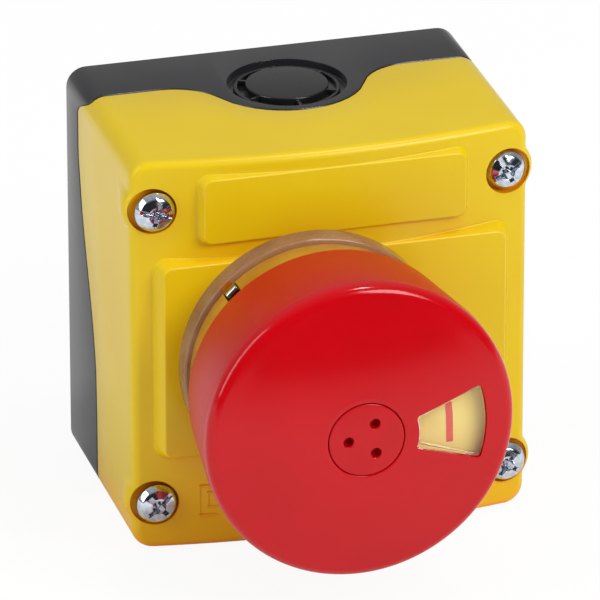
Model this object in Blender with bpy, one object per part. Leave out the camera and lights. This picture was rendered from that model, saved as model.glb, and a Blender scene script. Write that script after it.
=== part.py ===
# Emergency-stop control station: a surface-mounted box with one large mushroom pushbutton.
# X points right, Y points into the wall and Z points up.
# Sizes are in millimetres times MM, so every coordinate ends up in metres.
# Depths (Y) are counted from the highest line of the crowned cover face, positive towards the wall.

import math

import bmesh
import bpy
from mathutils import Matrix, Vector

MM = 0.001
FIT_GAP = 0.3 * MM
WELD = 0.001 * MM
FLAT_LIMIT = 0.0002 * MM

# Box
BOX_WIDTH = 70.8 * MM
BOX_HEIGHT = 72.8 * MM
BOX_DEPTH = 47.9 * MM
CORNER_RADIUS = 3.5 * MM
FACE_CROWN_RADIUS = 178.5 * MM
FACE_EDGE_RADIUS = 1.4 * MM
FACE_BORDER = 1.2 * MM
BACK_EDGE_RADIUS = 0.6 * MM
WALL = 2.5 * MM
FACE_THICKNESS = 2.6 * MM
FLOOR_THICKNESS = 2.5 * MM

# Cover screws and the bosses that carry them
SCREW_SPACING_X = BOX_WIDTH - 7.4 * MM
SCREW_SPACING_Z = BOX_HEIGHT - 17.7 * MM
SCREW_SHANK_RADIUS = 1.75 * MM
SCREW_LENGTH = 38.0 * MM
SCREW_HEAD_RADIUS = 3.5 * MM
SCREW_HEAD_HEIGHT = 2.6 * MM
SCREW_HOLE_CLEARANCE = 0.3 * MM
SCREW_CROSS_DEPTH = 1.3 * MM
SCREW_CROSS_LENGTH = 4.4 * MM
SCREW_CROSS_WIDTH = 0.9 * MM
SCREW_TURNS = (12.0, 64.0, -18.0, 33.0)
COUNTERBORE_RADIUS = 4.15 * MM
COUNTERBORE_DEPTH = 1.7 * MM
BOSS_BULGE = 1.2 * MM
BOSS_BULGE_HALF_HEIGHT = 4.5 * MM
BOSS_BULGE_DEPTH = 9.0 * MM
BOSS_INNER_REACH = 5.2 * MM
BOSS_LOWER_REACH = 6.0 * MM
BOSS_BLEND = 5.0 * MM
CAVITY_CORNER_RADIUS = 2.5 * MM

# Parting line between cover and base
SEAM_TOP_DEPTH = 33.7 * MM
SEAM_SIDE_DEPTH = 39.4 * MM
SEAM_LOW_DEPTH = 28.4 * MM
SEAM_BEND_TOP = BOX_HEIGHT * 0.36
SEAM_BEND_LOW = -BOX_HEIGHT * 0.25
SEAM_CORNER_REACH = 5.0 * MM
SEAM_GAP = 0.3 * MM
ENTRY_DEPTH = 30.9 * MM
ENTRY_BUMP_RADIUS = 14.0 * MM
ENTRY_BUMP_CENTRE_DEPTH = 32.6 * MM
ENTRY_BUMP_FILLET = 10.0 * MM
TONGUE_WIDTH = 1.0 * MM
TONGUE_HEIGHT = 2.2 * MM
GASKET_HEIGHT = 1.2 * MM

# Cable-entry knockouts
KNOCKOUT_RADIUS = 10.5 * MM
KNOCKOUT_DISC_RADIUS = 7.25 * MM
KNOCKOUT_RING_INNER = 8.6 * MM
KNOCKOUT_RING_OUTER = 9.3 * MM
KNOCKOUT_RING_DROP = 0.7 * MM
KNOCKOUT_DEPTH = 1.5 * MM
KNOCKOUT_WEB_COUNT = 6
KNOCKOUT_WEB_WIDTH = 0.6 * MM
KNOCKOUT_WEB_DROP = 0.5 * MM

# Raised panels on the face
PANEL_HEIGHT = 0.3 * MM
PANEL_DRAFT = 0.38
PANEL_CORNER = 1.6 * MM
LOWER_PANEL_WIDTH = BOX_WIDTH - 9.8 * MM
LOWER_PANEL_TOP = BOX_HEIGHT / 2 - 18.7 * MM
LOWER_PANEL_BOTTOM = -BOX_HEIGHT / 2 + 18.4 * MM
UPPER_PANEL_WIDTH = BOX_WIDTH - 24.2 * MM
UPPER_PANEL_TOP = BOX_HEIGHT / 2 - 3.15 * MM
UPPER_PANEL_BOTTOM = BOX_HEIGHT / 2 - 14.9 * MM

# Wall-fixing holes in the floor of the base
WALL_HOLE_SPACING_X = BOX_WIDTH - 40.0 * MM
WALL_HOLE_SPACING_Z = BOX_HEIGHT - 18.6 * MM
WALL_HOLE_RADIUS = 2.25 * MM
WALL_HOLE_SINK_RADIUS = 4.25 * MM
WALL_HOLE_SINK_DEPTH = 1.2 * MM
WALL_SLOT_TRAVEL = 2.6 * MM

# Pushbutton: its axis on the face, and the depths of its parts
AXIS_X = -5.1 * MM
AXIS_Z = -0.8 * MM
PANEL_HOLE_RADIUS = 11.15 * MM
PANEL_HOLE_KEY_WIDTH = 1.6 * MM
PANEL_HOLE_KEY_REACH = 0.9 * MM
PUSH_TRAVEL = 5.5 * MM

RING_RADIUS = 23.1 * MM
RING_HEIGHT = 4.0 * MM
RING_BORE_RADIUS = 18.0 * MM
SEAL_INNER_RADIUS = 12.0 * MM
SEAL_OUTER_RADIUS = 17.0 * MM
SEAL_HEIGHT = 1.2 * MM
FLANGE_RADIUS = 17.6 * MM
FLANGE_HEIGHT = 2.4 * MM
BARREL_RADIUS = 10.8 * MM
BARREL_END_DEPTH = 13.0 * MM
BARREL_BORE_RADIUS = 7.0 * MM
BARREL_WIDE_BORE_RADIUS = 9.4 * MM
BARREL_WIDE_BORE_START = 4.0 * MM

SLEEVE_RADIUS = 22.3 * MM
SLEEVE_WALL = 1.3 * MM
SLEEVE_FLOOR = 1.8 * MM
SLEEVE_LENGTH = 10.4 * MM
SLEEVE_HOLE_RADIUS = 10.2 * MM
SLOT_ANGLE = 133.4
SLOT_WIDTH = 3.0 * MM
SLOT_LENGTH = 7.4 * MM
SLOT_FROM_SLEEVE_REAR = 0.4 * MM
PIN_RADIUS = 0.8 * MM
PIN_LENGTH = 2.4 * MM
PIN_FROM_SLEEVE_REAR = 1.3 * MM

CAP_RADIUS = 27.0 * MM
CAP_REAR_RADIUS = 24.75 * MM
CAP_REAR_PROUD = 13.1 * MM
CAP_TOP_PROUD = 37.2 * MM
CAP_RIM_DROP = 5.7 * MM
CAP_RIM_PROUD = CAP_TOP_PROUD - CAP_RIM_DROP
CAP_WALL = 1.7 * MM
CAP_FRONT_THICKNESS = 2.2 * MM
CAP_RIM_ROUNDING = 2.1 * MM
CAP_DOME_RADIUS = 108.0 * MM
PLUG_RADIUS = 6.4 * MM
PLUG_THICKNESS = 2.4 * MM
PLUG_HOLE_RADIUS = 0.9 * MM
PLUG_HOLE_DEPTH = 1.6 * MM
PLUG_HOLE_CIRCLE = 3.15 * MM
PLUG_HOLE_START = 62.0
WINDOW_MIDDLE_ANGLE = 0.0
WINDOW_HALF_ANGLE = 18.5
WINDOW_INNER_RADIUS = 9.3 * MM
WINDOW_OUTER_RADIUS = 21.7 * MM
LENS_THICKNESS = 2.0 * MM
LENS_GAP = 0.2 * MM

DISC_INNER_RADIUS = 8.8 * MM
DISC_OUTER_RADIUS = 22.3 * MM
DISC_THICKNESS = 1.0 * MM
HUB_RADIUS = 8.4 * MM
HUB_HEIGHT = 1.9 * MM
SHOULDER_RADIUS = 10.4 * MM
SHOULDER_HEIGHT = 1.4 * MM
STEM_RADIUS = 6.6 * MM
STEM_TAIL_RADIUS = 3.0 * MM
STEM_TAIL_LENGTH = 2.4 * MM
DRIVE_PLATE_RADIUS = 8.8 * MM
DRIVE_PLATE_THICKNESS = 1.8 * MM
CAM_RING_THICKNESS = 5.0 * MM
CAM_RING_BORE_RADIUS = 7.2 * MM
CAM_NOTCH_COUNT = 3
CAM_NOTCH_WIDTH = 2.2 * MM
CAM_NOTCH_DEPTH = 2.4 * MM

SPRING_WIRE_RADIUS = 0.55 * MM
SPRING_COIL_RADIUS = 8.6 * MM
SPRING_TURNS = 5.5
SPRING_END_TURNS = 0.75

NUT_RADIUS = 15.0 * MM
NUT_HEIGHT = 5.5 * MM
NUT_NOTCH_COUNT = 8
NUT_NOTCH_RADIUS = 1.3 * MM
NUT_NOTCH_START = 4.0
NUT_SEAT_RADIUS = 15.7 * MM
NUT_SEAT_DEPTH = FACE_THICKNESS - 0.2 * MM

# Contact blocks on the floor of the base
BLOCK_WIDTH = 10.0 * MM
BLOCK_SPACING = 10.6 * MM
BLOCK_LENGTH = 34.0 * MM
BLOCK_FRONT_DEPTH = 27.0 * MM
BLOCK_CHAMBER_DEPTH = 31.0 * MM
BLOCK_CHAMBER_WIDTH = 7.6 * MM
BLOCK_CHAMBER_LENGTH = 21.0 * MM
BLOCK_REAR_WALL = 1.2 * MM
PLUNGER_WIDTH = 4.0 * MM
PLUNGER_LENGTH = 5.0 * MM
PLUNGER_FOOT_LENGTH = 7.0 * MM
PLUNGER_FOOT_HEIGHT = 1.0 * MM
BRIDGE_WIDTH = 4.6 * MM
BRIDGE_LENGTH = 19.0 * MM
BRIDGE_THICKNESS = 0.8 * MM
CONTACT_TIP_RADIUS = 1.3 * MM
CONTACT_TIP_HEIGHT = 0.5 * MM
CONTACT_TIP_REACH = 7.9 * MM
CONTACT_GAP = 0.15 * MM
TERMINAL_WIDTH = 6.0 * MM
TERMINAL_THICKNESS = 0.8 * MM
TERMINAL_INNER_REACH = 6.2 * MM
TERMINAL_OUTER_REACH = 16.2 * MM
TERMINAL_DEPTH = 31.9 * MM
TERMINAL_POCKET_WIDTH = 7.2 * MM
TERMINAL_POCKET_LENGTH = 4.7 * MM
TERMINAL_POCKET_END = 39.5 * MM
TERMINAL_SCREW_REACH = 13.9 * MM
TERMINAL_SCREW_RADIUS = 1.5 * MM
TERMINAL_SCREW_HEAD_RADIUS = 2.0 * MM
TERMINAL_SCREW_HEAD_HEIGHT = 1.8 * MM
TERMINAL_SCREW_LENGTH = 6.0 * MM
TERMINAL_SCREW_HOLE_CLEARANCE = 0.2 * MM
CONTACT_SPRING_WIRE = 0.25 * MM
CONTACT_SPRING_RADIUS = 1.6 * MM
CONTACT_SPRING_TURNS = 4.5
FLOOR_RIB_WIDTH = 1.6 * MM
FLOOR_RIB_HEIGHT = 4.0 * MM

# Smoothness
CAP_STEPS = 64
ROUND_STEPS = 56
INNER_ROUND_STEPS = 32
SMALL_ROUND_STEPS = 12
NUT_SEAT_STEPS = 36
CORNER_STEPS = 4
EDGE_STEPS = 3
SHADE_ANGLE = math.radians(35.0)

# Values that follow from the ones above
HALF_WIDTH = BOX_WIDTH / 2
HALF_HEIGHT = BOX_HEIGHT / 2
CAVITY_HALF_WIDTH = HALF_WIDTH - WALL
CAVITY_HALF_HEIGHT = HALF_HEIGHT - WALL
CAVITY_START_X = SCREW_SPACING_X / 2 - BOSS_INNER_REACH - CAVITY_CORNER_RADIUS
BOSS_BLEND_START = SCREW_SPACING_Z / 2 - BOSS_LOWER_REACH - BOSS_BLEND
FLOOR_DEPTH = BOX_DEPTH - FLOOR_THICKNESS
SCREW_FACE_DEPTH = (SCREW_SPACING_X / 2) ** 2 / (2 * FACE_CROWN_RADIUS)
PANEL_SURFACE = -PANEL_HEIGHT
SEAL_REAR = PANEL_SURFACE - FIT_GAP
SEAL_FRONT = SEAL_REAR - SEAL_HEIGHT
FLANGE_REAR = SEAL_FRONT - FIT_GAP
FLANGE_FRONT = FLANGE_REAR - FLANGE_HEIGHT
RING_REAR = PANEL_SURFACE - FIT_GAP
RING_FRONT = RING_REAR - RING_HEIGHT
SLEEVE_REAR = min(RING_FRONT, FLANGE_FRONT) - FIT_GAP
SLEEVE_FLOOR_FRONT = SLEEVE_REAR - SLEEVE_FLOOR
SLEEVE_FRONT = SLEEVE_REAR - SLEEVE_LENGTH
FRAME_DEPTH = (CAP_TOP_PROUD - BOX_DEPTH) / 2


# Empties and materials

def make_empty(name, location, parent=None):
    empty = bpy.data.objects.new(name, None)
    empty.empty_display_size = 5 * MM
    empty.location = location
    empty.parent = parent
    bpy.context.scene.collection.objects.link(empty)
    return empty


def make_material(name, color, roughness, metallic=0.0, alpha=1.0):
    material = bpy.data.materials.new(name)
    material.use_nodes = True
    shader = material.node_tree.nodes["Principled BSDF"]
    shader.inputs["Base Color"].default_value = (*color, 1.0)
    shader.inputs["Roughness"].default_value = roughness
    shader.inputs["Metallic"].default_value = metallic
    shader.inputs["Alpha"].default_value = alpha
    return material


def make_object(name, mesh_maker, material, parent=None, location=(0, 0, 0), rotation=(0, 0, 0)):
    """Turn a finished bmesh into a named object, with its faces pointing out."""
    bmesh.ops.remove_doubles(mesh_maker, verts=mesh_maker.verts, dist=WELD)
    bmesh.ops.recalc_face_normals(mesh_maker, faces=mesh_maker.faces)
    mesh = bpy.data.meshes.new(name)
    mesh_maker.to_mesh(mesh)
    mesh_maker.free()
    if material is not None:
        mesh.materials.append(material)
    mesh.shade_smooth()
    mesh.set_sharp_from_angle(angle=SHADE_ANGLE)
    thing = bpy.data.objects.new(name, mesh)
    thing.parent = parent
    thing.location = location
    thing.rotation_euler = rotation
    bpy.context.scene.collection.objects.link(thing)
    return thing


def cut(target, cutter, operation="DIFFERENCE"):
    """Keep a Boolean on the target; its operand stays in the file as a wire guide."""
    cutter.hide_render = True
    cutter.display_type = "WIRE"
    modifier = target.modifiers.new(cutter.name, "BOOLEAN")
    modifier.operation = operation
    modifier.solver = "EXACT"
    modifier.object = cutter
    return modifier


# Basic solids. Each returns a bmesh.

def turned(profile, steps=ROUND_STEPS, closed=False):
    """Revolve (radius, depth) points about the Y axis. A closed profile makes a ring."""
    solid = bmesh.new()
    points = [solid.verts.new((radius, depth, 0.0)) for radius, depth in profile]
    edges = [solid.edges.new(pair) for pair in zip(points, points[1:])]
    if closed:
        edges.append(solid.edges.new((points[-1], points[0])))
    bmesh.ops.spin(solid, geom=points + edges, cent=(0, 0, 0), axis=(0, 1, 0),
                   angle=2 * math.pi, steps=steps, use_merge=True, use_duplicate=False)
    return solid


def disc_profile(radius, front, rear, chamfer=0.0):
    if chamfer <= 0:
        return [(0, front), (radius, front), (radius, rear), (0, rear)]
    return [(0, front), (radius - chamfer, front), (radius, front + chamfer), (radius, rear), (0, rear)]


def ring_profile(inner, outer, front, rear, chamfer=0.0):
    if chamfer <= 0:
        return [(inner, front), (outer, front), (outer, rear), (inner, rear)]
    return [(inner, front), (outer - chamfer, front), (outer, front + chamfer), (outer, rear), (inner, rear)]


def block(size, centre):
    """A rectangular block with its size along X, Y and Z."""
    solid = bmesh.new()
    bmesh.ops.create_cube(solid, size=1.0)
    bmesh.ops.scale(solid, vec=size, verts=solid.verts)
    bmesh.ops.translate(solid, vec=centre, verts=solid.verts)
    return solid


def rod(radius, front, rear, x=0.0, z=0.0, steps=SMALL_ROUND_STEPS):
    """A plain rod along Y."""
    solid = turned(disc_profile(radius, front, rear), steps)
    bmesh.ops.translate(solid, vec=(x, 0, z), verts=solid.verts)
    return solid


def coil(radius, wire, start, end, turns, dead_turns, sides=5, steps_per_turn=10):
    """A compression spring along Y with closed ends, swept as one tube."""
    solid = bmesh.new()
    count = int(turns * steps_per_turn)
    dead_share = dead_turns / turns
    pitch_length = (end - start) - 2 * wire - 2 * dead_turns * 2 * wire
    previous = None
    first = None
    for step in range(count + 1):
        share = step / count
        angle = 2 * math.pi * turns * share
        live = min(max((share - dead_share) / (1 - 2 * dead_share), 0.0), 1.0)
        lead = min(share / dead_share, 1.0) + max((share - 1 + dead_share) / dead_share, 0.0)
        depth = start + wire + lead * dead_turns * 2 * wire + live * pitch_length
        outward = Vector((math.cos(angle), 0, math.sin(angle)))
        loop = []
        for side in range(sides):
            turn = 2 * math.pi * side / sides
            point = outward * (radius + wire * math.cos(turn)) + Vector((0, depth + wire * math.sin(turn), 0))
            loop.append(solid.verts.new(point))
        if previous is None:
            first = loop
        else:
            for side in range(sides):
                after = (side + 1) % sides
                solid.faces.new((previous[side], previous[after], loop[after], loop[side]))
        previous = loop
    solid.faces.new(first)
    solid.faces.new(previous[::-1])
    return solid


def raised_pad(width, low, high):
    """A flat pad that stands out of the crowned face, with drafted sides that reach into the cover."""
    solid = bmesh.new()
    start_x = width / 2 - PANEL_CORNER
    half_row = [start_x * share for share in (1.0, 0.81, 0.58, 0.35, 0.13)]
    row = half_row + [-x for x in reversed(half_row)]
    places = []
    for side, start in ((1, 90), (-1, 270)):
        edge = high if side > 0 else low
        centre_z = edge - side * PANEL_CORNER
        places += [(side * x, edge, 0, side) for x in row]
        for step in range(1, CORNER_STEPS + 1):
            turn = math.radians(start + 90 * step / CORNER_STEPS)
            places.append((-side * start_x + PANEL_CORNER * math.cos(turn),
                           centre_z + PANEL_CORNER * math.sin(turn), math.cos(turn), math.sin(turn)))
        other_z = (low + PANEL_CORNER) if side > 0 else (high - PANEL_CORNER)
        for step in range(CORNER_STEPS):
            turn = math.radians(start + 90 + 90 * step / CORNER_STEPS)
            places.append((-side * start_x + PANEL_CORNER * math.cos(turn),
                           other_z + PANEL_CORNER * math.sin(turn), math.cos(turn), math.sin(turn)))
    front = [solid.verts.new((x, PANEL_SURFACE, z)) for x, z, _, _ in places]
    rear = []
    for x, z, way_x, way_z in places:
        depth = crown(x) + FACE_THICKNESS / 2
        spread = PANEL_DRAFT * (depth - PANEL_SURFACE)
        rear.append(solid.verts.new((x + way_x * spread, depth, z + way_z * spread)))
    join_rings(solid, [front, rear])
    fill_crowned(solid, front, len(row))
    fill_crowned(solid, rear, len(row))
    split_twisted(solid)
    return solid


def join_rings(solid, rings, closed=False):
    """Fill the strips between successive rings of the same number of points."""
    pairs = list(zip(rings, rings[1:]))
    if closed:
        pairs.append((rings[-1], rings[0]))
    for near, far in pairs:
        for index in range(len(near)):
            after = (index + 1) % len(near)
            solid.faces.new((near[index], near[after], far[after], far[index]))


def split_rings(solid, near, far):
    """As join_rings for one pair, in triangles, so that twisted strips match on both parts."""
    for index in range(len(near)):
        after = (index + 1) % len(near)
        solid.faces.new((near[index], near[after], far[after]))
        solid.faces.new((near[index], far[after], far[index]))


def fill_crowned(solid, loop, row):
    """Close a loop on the crowned face in upright strips between its top row and its bottom row."""
    half = len(loop) // 2
    for index in range(row - 1):
        opposite = half + row - 1 - index
        solid.faces.new((loop[index], loop[index + 1], loop[opposite - 1], loop[opposite]))
    for side in (loop[row - 1:half + 1], loop[half + row - 1:] + loop[:1]):
        last = len(side) - 1
        near = 0
        while 2 * near < last:
            far = near + 1
            while 2 * far < last and abs(side[far + 1].co.x - side[far].co.x) < WELD:
                far += 1
            if 2 * far >= last:
                solid.faces.new(side[near:last + 1 - near])
                break
            solid.faces.new(side[near:far + 1] + side[last - far:last + 1 - near])
            near = far


def split_twisted(solid):
    """Cut faces that aren't flat into triangles, which a Boolean needs."""
    bmesh.ops.recalc_face_normals(solid, faces=solid.faces)
    twisted = []
    for face in solid.faces:
        centre = face.calc_center_median()
        if max(abs((vertex.co - centre).dot(face.normal)) for vertex in face.verts) > FLAT_LIMIT:
            twisted.append(face)
    bmesh.ops.triangulate(solid, faces=twisted)


def crown(x):
    """How far the cover's face falls back at a distance from its middle."""
    return x ** 2 / (2 * FACE_CROWN_RADIUS)


# Outline of the box. Every outline has the same number of points in the same order,
# so that walls, rims and tongues join point to point.

ROW_POINTS = 19
TOP_POINTS = tuple(CAVITY_START_X * share for share in (0.86, 0.74, 0.64, 0.54, 0.42, 0.28, 0.14, 0.0))
SIDE_POINTS = tuple(BOSS_BLEND_START * share for share in (0.82, 0.41, 0.0))


def mirror_row(half_row):
    """A row of positive values down to zero, carried on through the negative side."""
    return list(half_row) + [-value for value in reversed(half_row[:-1])]


def outline(half_width, half_height, radius, side_marks, side_offset):
    """Points (x, z) round a box section, anticlockwise from the right of the top edge."""
    start_x = half_width - radius
    start_z = half_height - radius
    top_row = mirror_row([start_x, (start_x + TOP_POINTS[0]) / 2, *TOP_POINTS])
    side_row = mirror_row([start_z, *side_marks, *SIDE_POINTS])
    points = []
    arc = [math.radians(90 * step / CORNER_STEPS) for step in range(1, CORNER_STEPS)]
    points += [(x, half_height) for x in top_row]
    points += [(-start_x - radius * math.sin(a), start_z + radius * math.cos(a)) for a in arc]
    points += [(-half_width - side_offset(z), z) for z in side_row]
    points += [(-start_x - radius * math.cos(a), -start_z - radius * math.sin(a)) for a in arc]
    points += [(-x, -half_height) for x in top_row]
    points += [(start_x + radius * math.sin(a), -start_z - radius * math.cos(a)) for a in arc]
    points += [(half_width + side_offset(-z), -z) for z in side_row]
    points += [(start_x + radius * math.cos(a), start_z + radius * math.sin(a)) for a in arc]
    return points


def smooth(share):
    share = min(max(share, 0.0), 1.0)
    return share * share * (3 - 2 * share)


def outer_outline(inset, bulge):
    """Section of the outside, with the side walls swelling round the screw bosses."""
    middle = SCREW_SPACING_Z / 2

    def swell(z):
        share = (abs(z) - middle) / BOSS_BULGE_HALF_HEIGHT
        if abs(share) >= 1:
            return 0.0
        return bulge * math.cos(share * math.pi / 2) ** 2

    reach = BOSS_BULGE_HALF_HEIGHT
    marks = [middle + reach * share for share in (0.85, 0.7, 0.5, 0.25, 0.0, -0.25, -0.5, -0.75, -1.05)]
    marks.append((marks[-1] + SIDE_POINTS[0]) / 2)
    return outline(HALF_WIDTH - inset, HALF_HEIGHT - inset, max(CORNER_RADIUS - inset, 0.5 * MM), marks, swell)


def cavity_outline(grow):
    """Section of the inside, drawn in at the corners to leave material round the screws."""
    inner_width = SCREW_SPACING_X / 2 - BOSS_INNER_REACH + grow
    step_in = CAVITY_HALF_WIDTH + grow - inner_width
    notch_end = SCREW_SPACING_Z / 2 - BOSS_LOWER_REACH + grow
    notch_start = notch_end - BOSS_BLEND

    def swell(z):
        return step_in * (1 - smooth((abs(z) - notch_start) / BOSS_BLEND))

    top = CAVITY_HALF_HEIGHT + grow
    radius = CAVITY_CORNER_RADIUS + grow
    marks = [notch_end + (top - radius - notch_end) * share for share in (0.85, 0.7, 0.5, 0.25)]
    marks += [notch_end - BOSS_BLEND * share for share in (0.0, 0.2, 0.4, 0.6, 0.8, 1.0)]
    return outline(inner_width, top, radius, marks, swell)


def seam_depth(x, z):
    """Depth of the parting line at a place on the section."""
    share = smooth((SEAM_BEND_TOP - z) / (SEAM_BEND_TOP - SEAM_BEND_LOW))
    line = SEAM_SIDE_DEPTH + (SEAM_LOW_DEPTH - SEAM_SIDE_DEPTH) * share
    if z > 0:
        from_corner = (HALF_HEIGHT - z) - (HALF_WIDTH - abs(x))
        line += (SEAM_TOP_DEPTH - SEAM_SIDE_DEPTH) * (1 - smooth(from_corner / SEAM_CORNER_REACH))
    if abs(z) < CAVITY_HALF_HEIGHT - CORNER_RADIUS:
        return line
    fillet_depth = line - ENTRY_BUMP_FILLET
    reach = ENTRY_BUMP_RADIUS + ENTRY_BUMP_FILLET
    drop = ENTRY_BUMP_CENTRE_DEPTH - fillet_depth
    fillet_x = math.sqrt(reach ** 2 - drop ** 2)
    meet_x = fillet_x * ENTRY_BUMP_RADIUS / reach
    if abs(x) >= fillet_x:
        return line
    if abs(x) >= meet_x:
        return fillet_depth + math.sqrt(ENTRY_BUMP_FILLET ** 2 - (fillet_x - abs(x)) ** 2)
    return ENTRY_BUMP_CENTRE_DEPTH - math.sqrt(ENTRY_BUMP_RADIUS ** 2 - x ** 2)


def ring(solid, points, depth=None, from_seam=None, from_face=None):
    """Place an outline at one depth, or at a distance from the seam or from the crowned face."""
    loop = []
    for x, z in points:
        y = depth
        if from_seam is not None:
            y = seam_depth(x, z) + from_seam
        if from_face is not None:
            y = crown(x) + from_face
        loop.append(solid.verts.new((x, y, z)))
    return loop


def edge_arc(radius):
    """Pairs (inset, rise) for a rounded edge, from the flat face to the side wall."""
    angles = [math.pi / 2 * step / EDGE_STEPS for step in range(EDGE_STEPS + 1)]
    return [(radius * (1 - math.sin(angle)), radius * (1 - math.cos(angle))) for angle in angles]


# Cover and base

def make_front_cover(material, parent):
    solid = bmesh.new()
    shoulder = TONGUE_HEIGHT + GASKET_HEIGHT + 2 * FIT_GAP
    groove = TONGUE_WIDTH + FIT_GAP
    outside = [ring(solid, outer_outline(FACE_EDGE_RADIUS + FACE_BORDER, 0), from_face=0)]
    outside += [ring(solid, outer_outline(inset, BOSS_BULGE), from_face=rise)
                for inset, rise in edge_arc(FACE_EDGE_RADIUS)]
    outside.append(ring(solid, outer_outline(0, 0), from_face=BOSS_BULGE_DEPTH))
    outside.append(ring(solid, outer_outline(0, 0), from_seam=0))
    rebate = [ring(solid, cavity_outline(groove), from_seam=0),
              ring(solid, cavity_outline(groove), from_seam=-shoulder)]
    inside = [ring(solid, cavity_outline(0), from_seam=-shoulder),
              ring(solid, cavity_outline(0), from_face=FACE_THICKNESS)]
    join_rings(solid, outside)
    split_rings(solid, outside[-1], rebate[0])
    join_rings(solid, rebate)
    split_rings(solid, rebate[1], inside[0])
    join_rings(solid, inside)
    fill_crowned(solid, outside[0], ROW_POINTS)
    fill_crowned(solid, inside[-1], ROW_POINTS)
    split_twisted(solid)
    cover = make_object("front_cover", solid, material, parent)

    for name, width, low, high in (
            ("lower_pad", LOWER_PANEL_WIDTH, LOWER_PANEL_BOTTOM, LOWER_PANEL_TOP),
            ("upper_pad", UPPER_PANEL_WIDTH, UPPER_PANEL_BOTTOM, UPPER_PANEL_TOP)):
        cut(cover, make_object(name, raised_pad(width, low, high), material, parent), "UNION")

    seat = rod(NUT_SEAT_RADIUS, NUT_SEAT_DEPTH, FACE_THICKNESS + 4 * MM, AXIS_X, AXIS_Z, NUT_SEAT_STEPS)
    cut(cover, make_object("nut_seat", seat, None, parent))

    key_top = PANEL_HOLE_RADIUS + PANEL_HOLE_KEY_REACH
    key_depth = FACE_THICKNESS + PANEL_HEIGHT + 2 * MM
    key = block((PANEL_HOLE_KEY_WIDTH, key_depth, key_top),
                (AXIS_X, (FACE_THICKNESS + PANEL_SURFACE) / 2, AXIS_Z + key_top / 2))
    cut(cover, make_object("panel_key", key, None, parent))
    hole = rod(PANEL_HOLE_RADIUS, PANEL_SURFACE - 1 * MM, FACE_THICKNESS + 1 * MM, AXIS_X, AXIS_Z, ROUND_STEPS)
    cut(cover, make_object("panel_hole", hole, None, parent))

    for number, (x, z) in enumerate(screw_places(), start=1):
        sink_end = SCREW_FACE_DEPTH + COUNTERBORE_DEPTH
        sink = turned([(0, -2 * MM), (COUNTERBORE_RADIUS, -2 * MM), (COUNTERBORE_RADIUS, sink_end),
                       (SCREW_SHANK_RADIUS + SCREW_HOLE_CLEARANCE, sink_end),
                       (SCREW_SHANK_RADIUS + SCREW_HOLE_CLEARANCE, BOX_DEPTH), (0, BOX_DEPTH)], 24)
        cut(cover, make_object("screw_sink_%d" % number, sink, None, parent, (x, 0, z)))
    return cover


def make_rear_base(material, parent):
    solid = bmesh.new()
    arc = edge_arc(BACK_EDGE_RADIUS)
    outside = [ring(solid, outer_outline(inset, 0), BOX_DEPTH - rise) for inset, rise in arc]
    outside.append(ring(solid, outer_outline(0, 0), from_seam=SEAM_GAP))
    tongue = [ring(solid, cavity_outline(TONGUE_WIDTH), from_seam=SEAM_GAP),
              ring(solid, cavity_outline(TONGUE_WIDTH), from_seam=-TONGUE_HEIGHT)]
    inside = [ring(solid, cavity_outline(0), from_seam=-TONGUE_HEIGHT),
              ring(solid, cavity_outline(0), FLOOR_DEPTH)]
    join_rings(solid, outside)
    split_rings(solid, outside[-1], tongue[0])
    join_rings(solid, tongue)
    split_rings(solid, tongue[1], inside[0])
    join_rings(solid, inside)
    solid.faces.new(outside[0])
    solid.faces.new(inside[-1][::-1])
    split_twisted(solid)
    base = make_object("rear_base", solid, material, parent)

    rib_length = BLOCK_SPACING + BLOCK_WIDTH
    rib_reach = BLOCK_LENGTH / 2 + FIT_GAP + FLOOR_RIB_WIDTH / 2
    rib_root = FLOOR_THICKNESS / 2
    for number, side in enumerate((-1, 1), start=1):
        rib = block((rib_length, FLOOR_RIB_HEIGHT + rib_root, FLOOR_RIB_WIDTH),
                    (AXIS_X, FLOOR_DEPTH + (rib_root - FLOOR_RIB_HEIGHT) / 2, AXIS_Z + side * rib_reach))
        cut(base, make_object("floor_rib_%d" % number, rib, material, parent), "UNION")

    for number, (x, z) in enumerate(screw_places(), start=1):
        pilot = rod(SCREW_SHANK_RADIUS + SCREW_HOLE_CLEARANCE, 0, screw_tip_depth() + 1 * MM, x, z)
        cut(base, make_object("screw_pilot_%d" % number, pilot, None, parent))

    for number, (x, z) in enumerate(wall_hole_places(), start=1):
        travel = WALL_SLOT_TRAVEL if z < 0 else 0.0
        cut(base, make_object("wall_hole_%d" % number, slot_cutter(travel), None, parent, (x, 0, z)))

    for side in (-1, 1):
        name = "top" if side > 0 else "bottom"
        entry = make_empty(name + "_entry", (0, ENTRY_DEPTH, side * HALF_HEIGHT), parent)
        entry.rotation_euler = (math.radians(90 * side), 0, 0)
        groove = turned(knockout_profile(), INNER_ROUND_STEPS, closed=True)
        cut(base, make_object(name + "_knockout", groove, None, entry))
        for number in range(KNOCKOUT_WEB_COUNT):
            angle = math.radians(360 * (number + 0.5) / KNOCKOUT_WEB_COUNT)
            length = KNOCKOUT_RING_INNER - KNOCKOUT_DISC_RADIUS + FIT_GAP
            height = KNOCKOUT_DEPTH - KNOCKOUT_WEB_DROP
            web = block((length, height, KNOCKOUT_WEB_WIDTH),
                        ((KNOCKOUT_RING_INNER + KNOCKOUT_DISC_RADIUS) / 2, -KNOCKOUT_WEB_DROP - height / 2, 0))
            cut(base, make_object("%s_web_%d" % (name, number + 1), web, material, entry, (0, 0, 0), (0, angle, 0)),
                "UNION")
    return base


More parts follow.
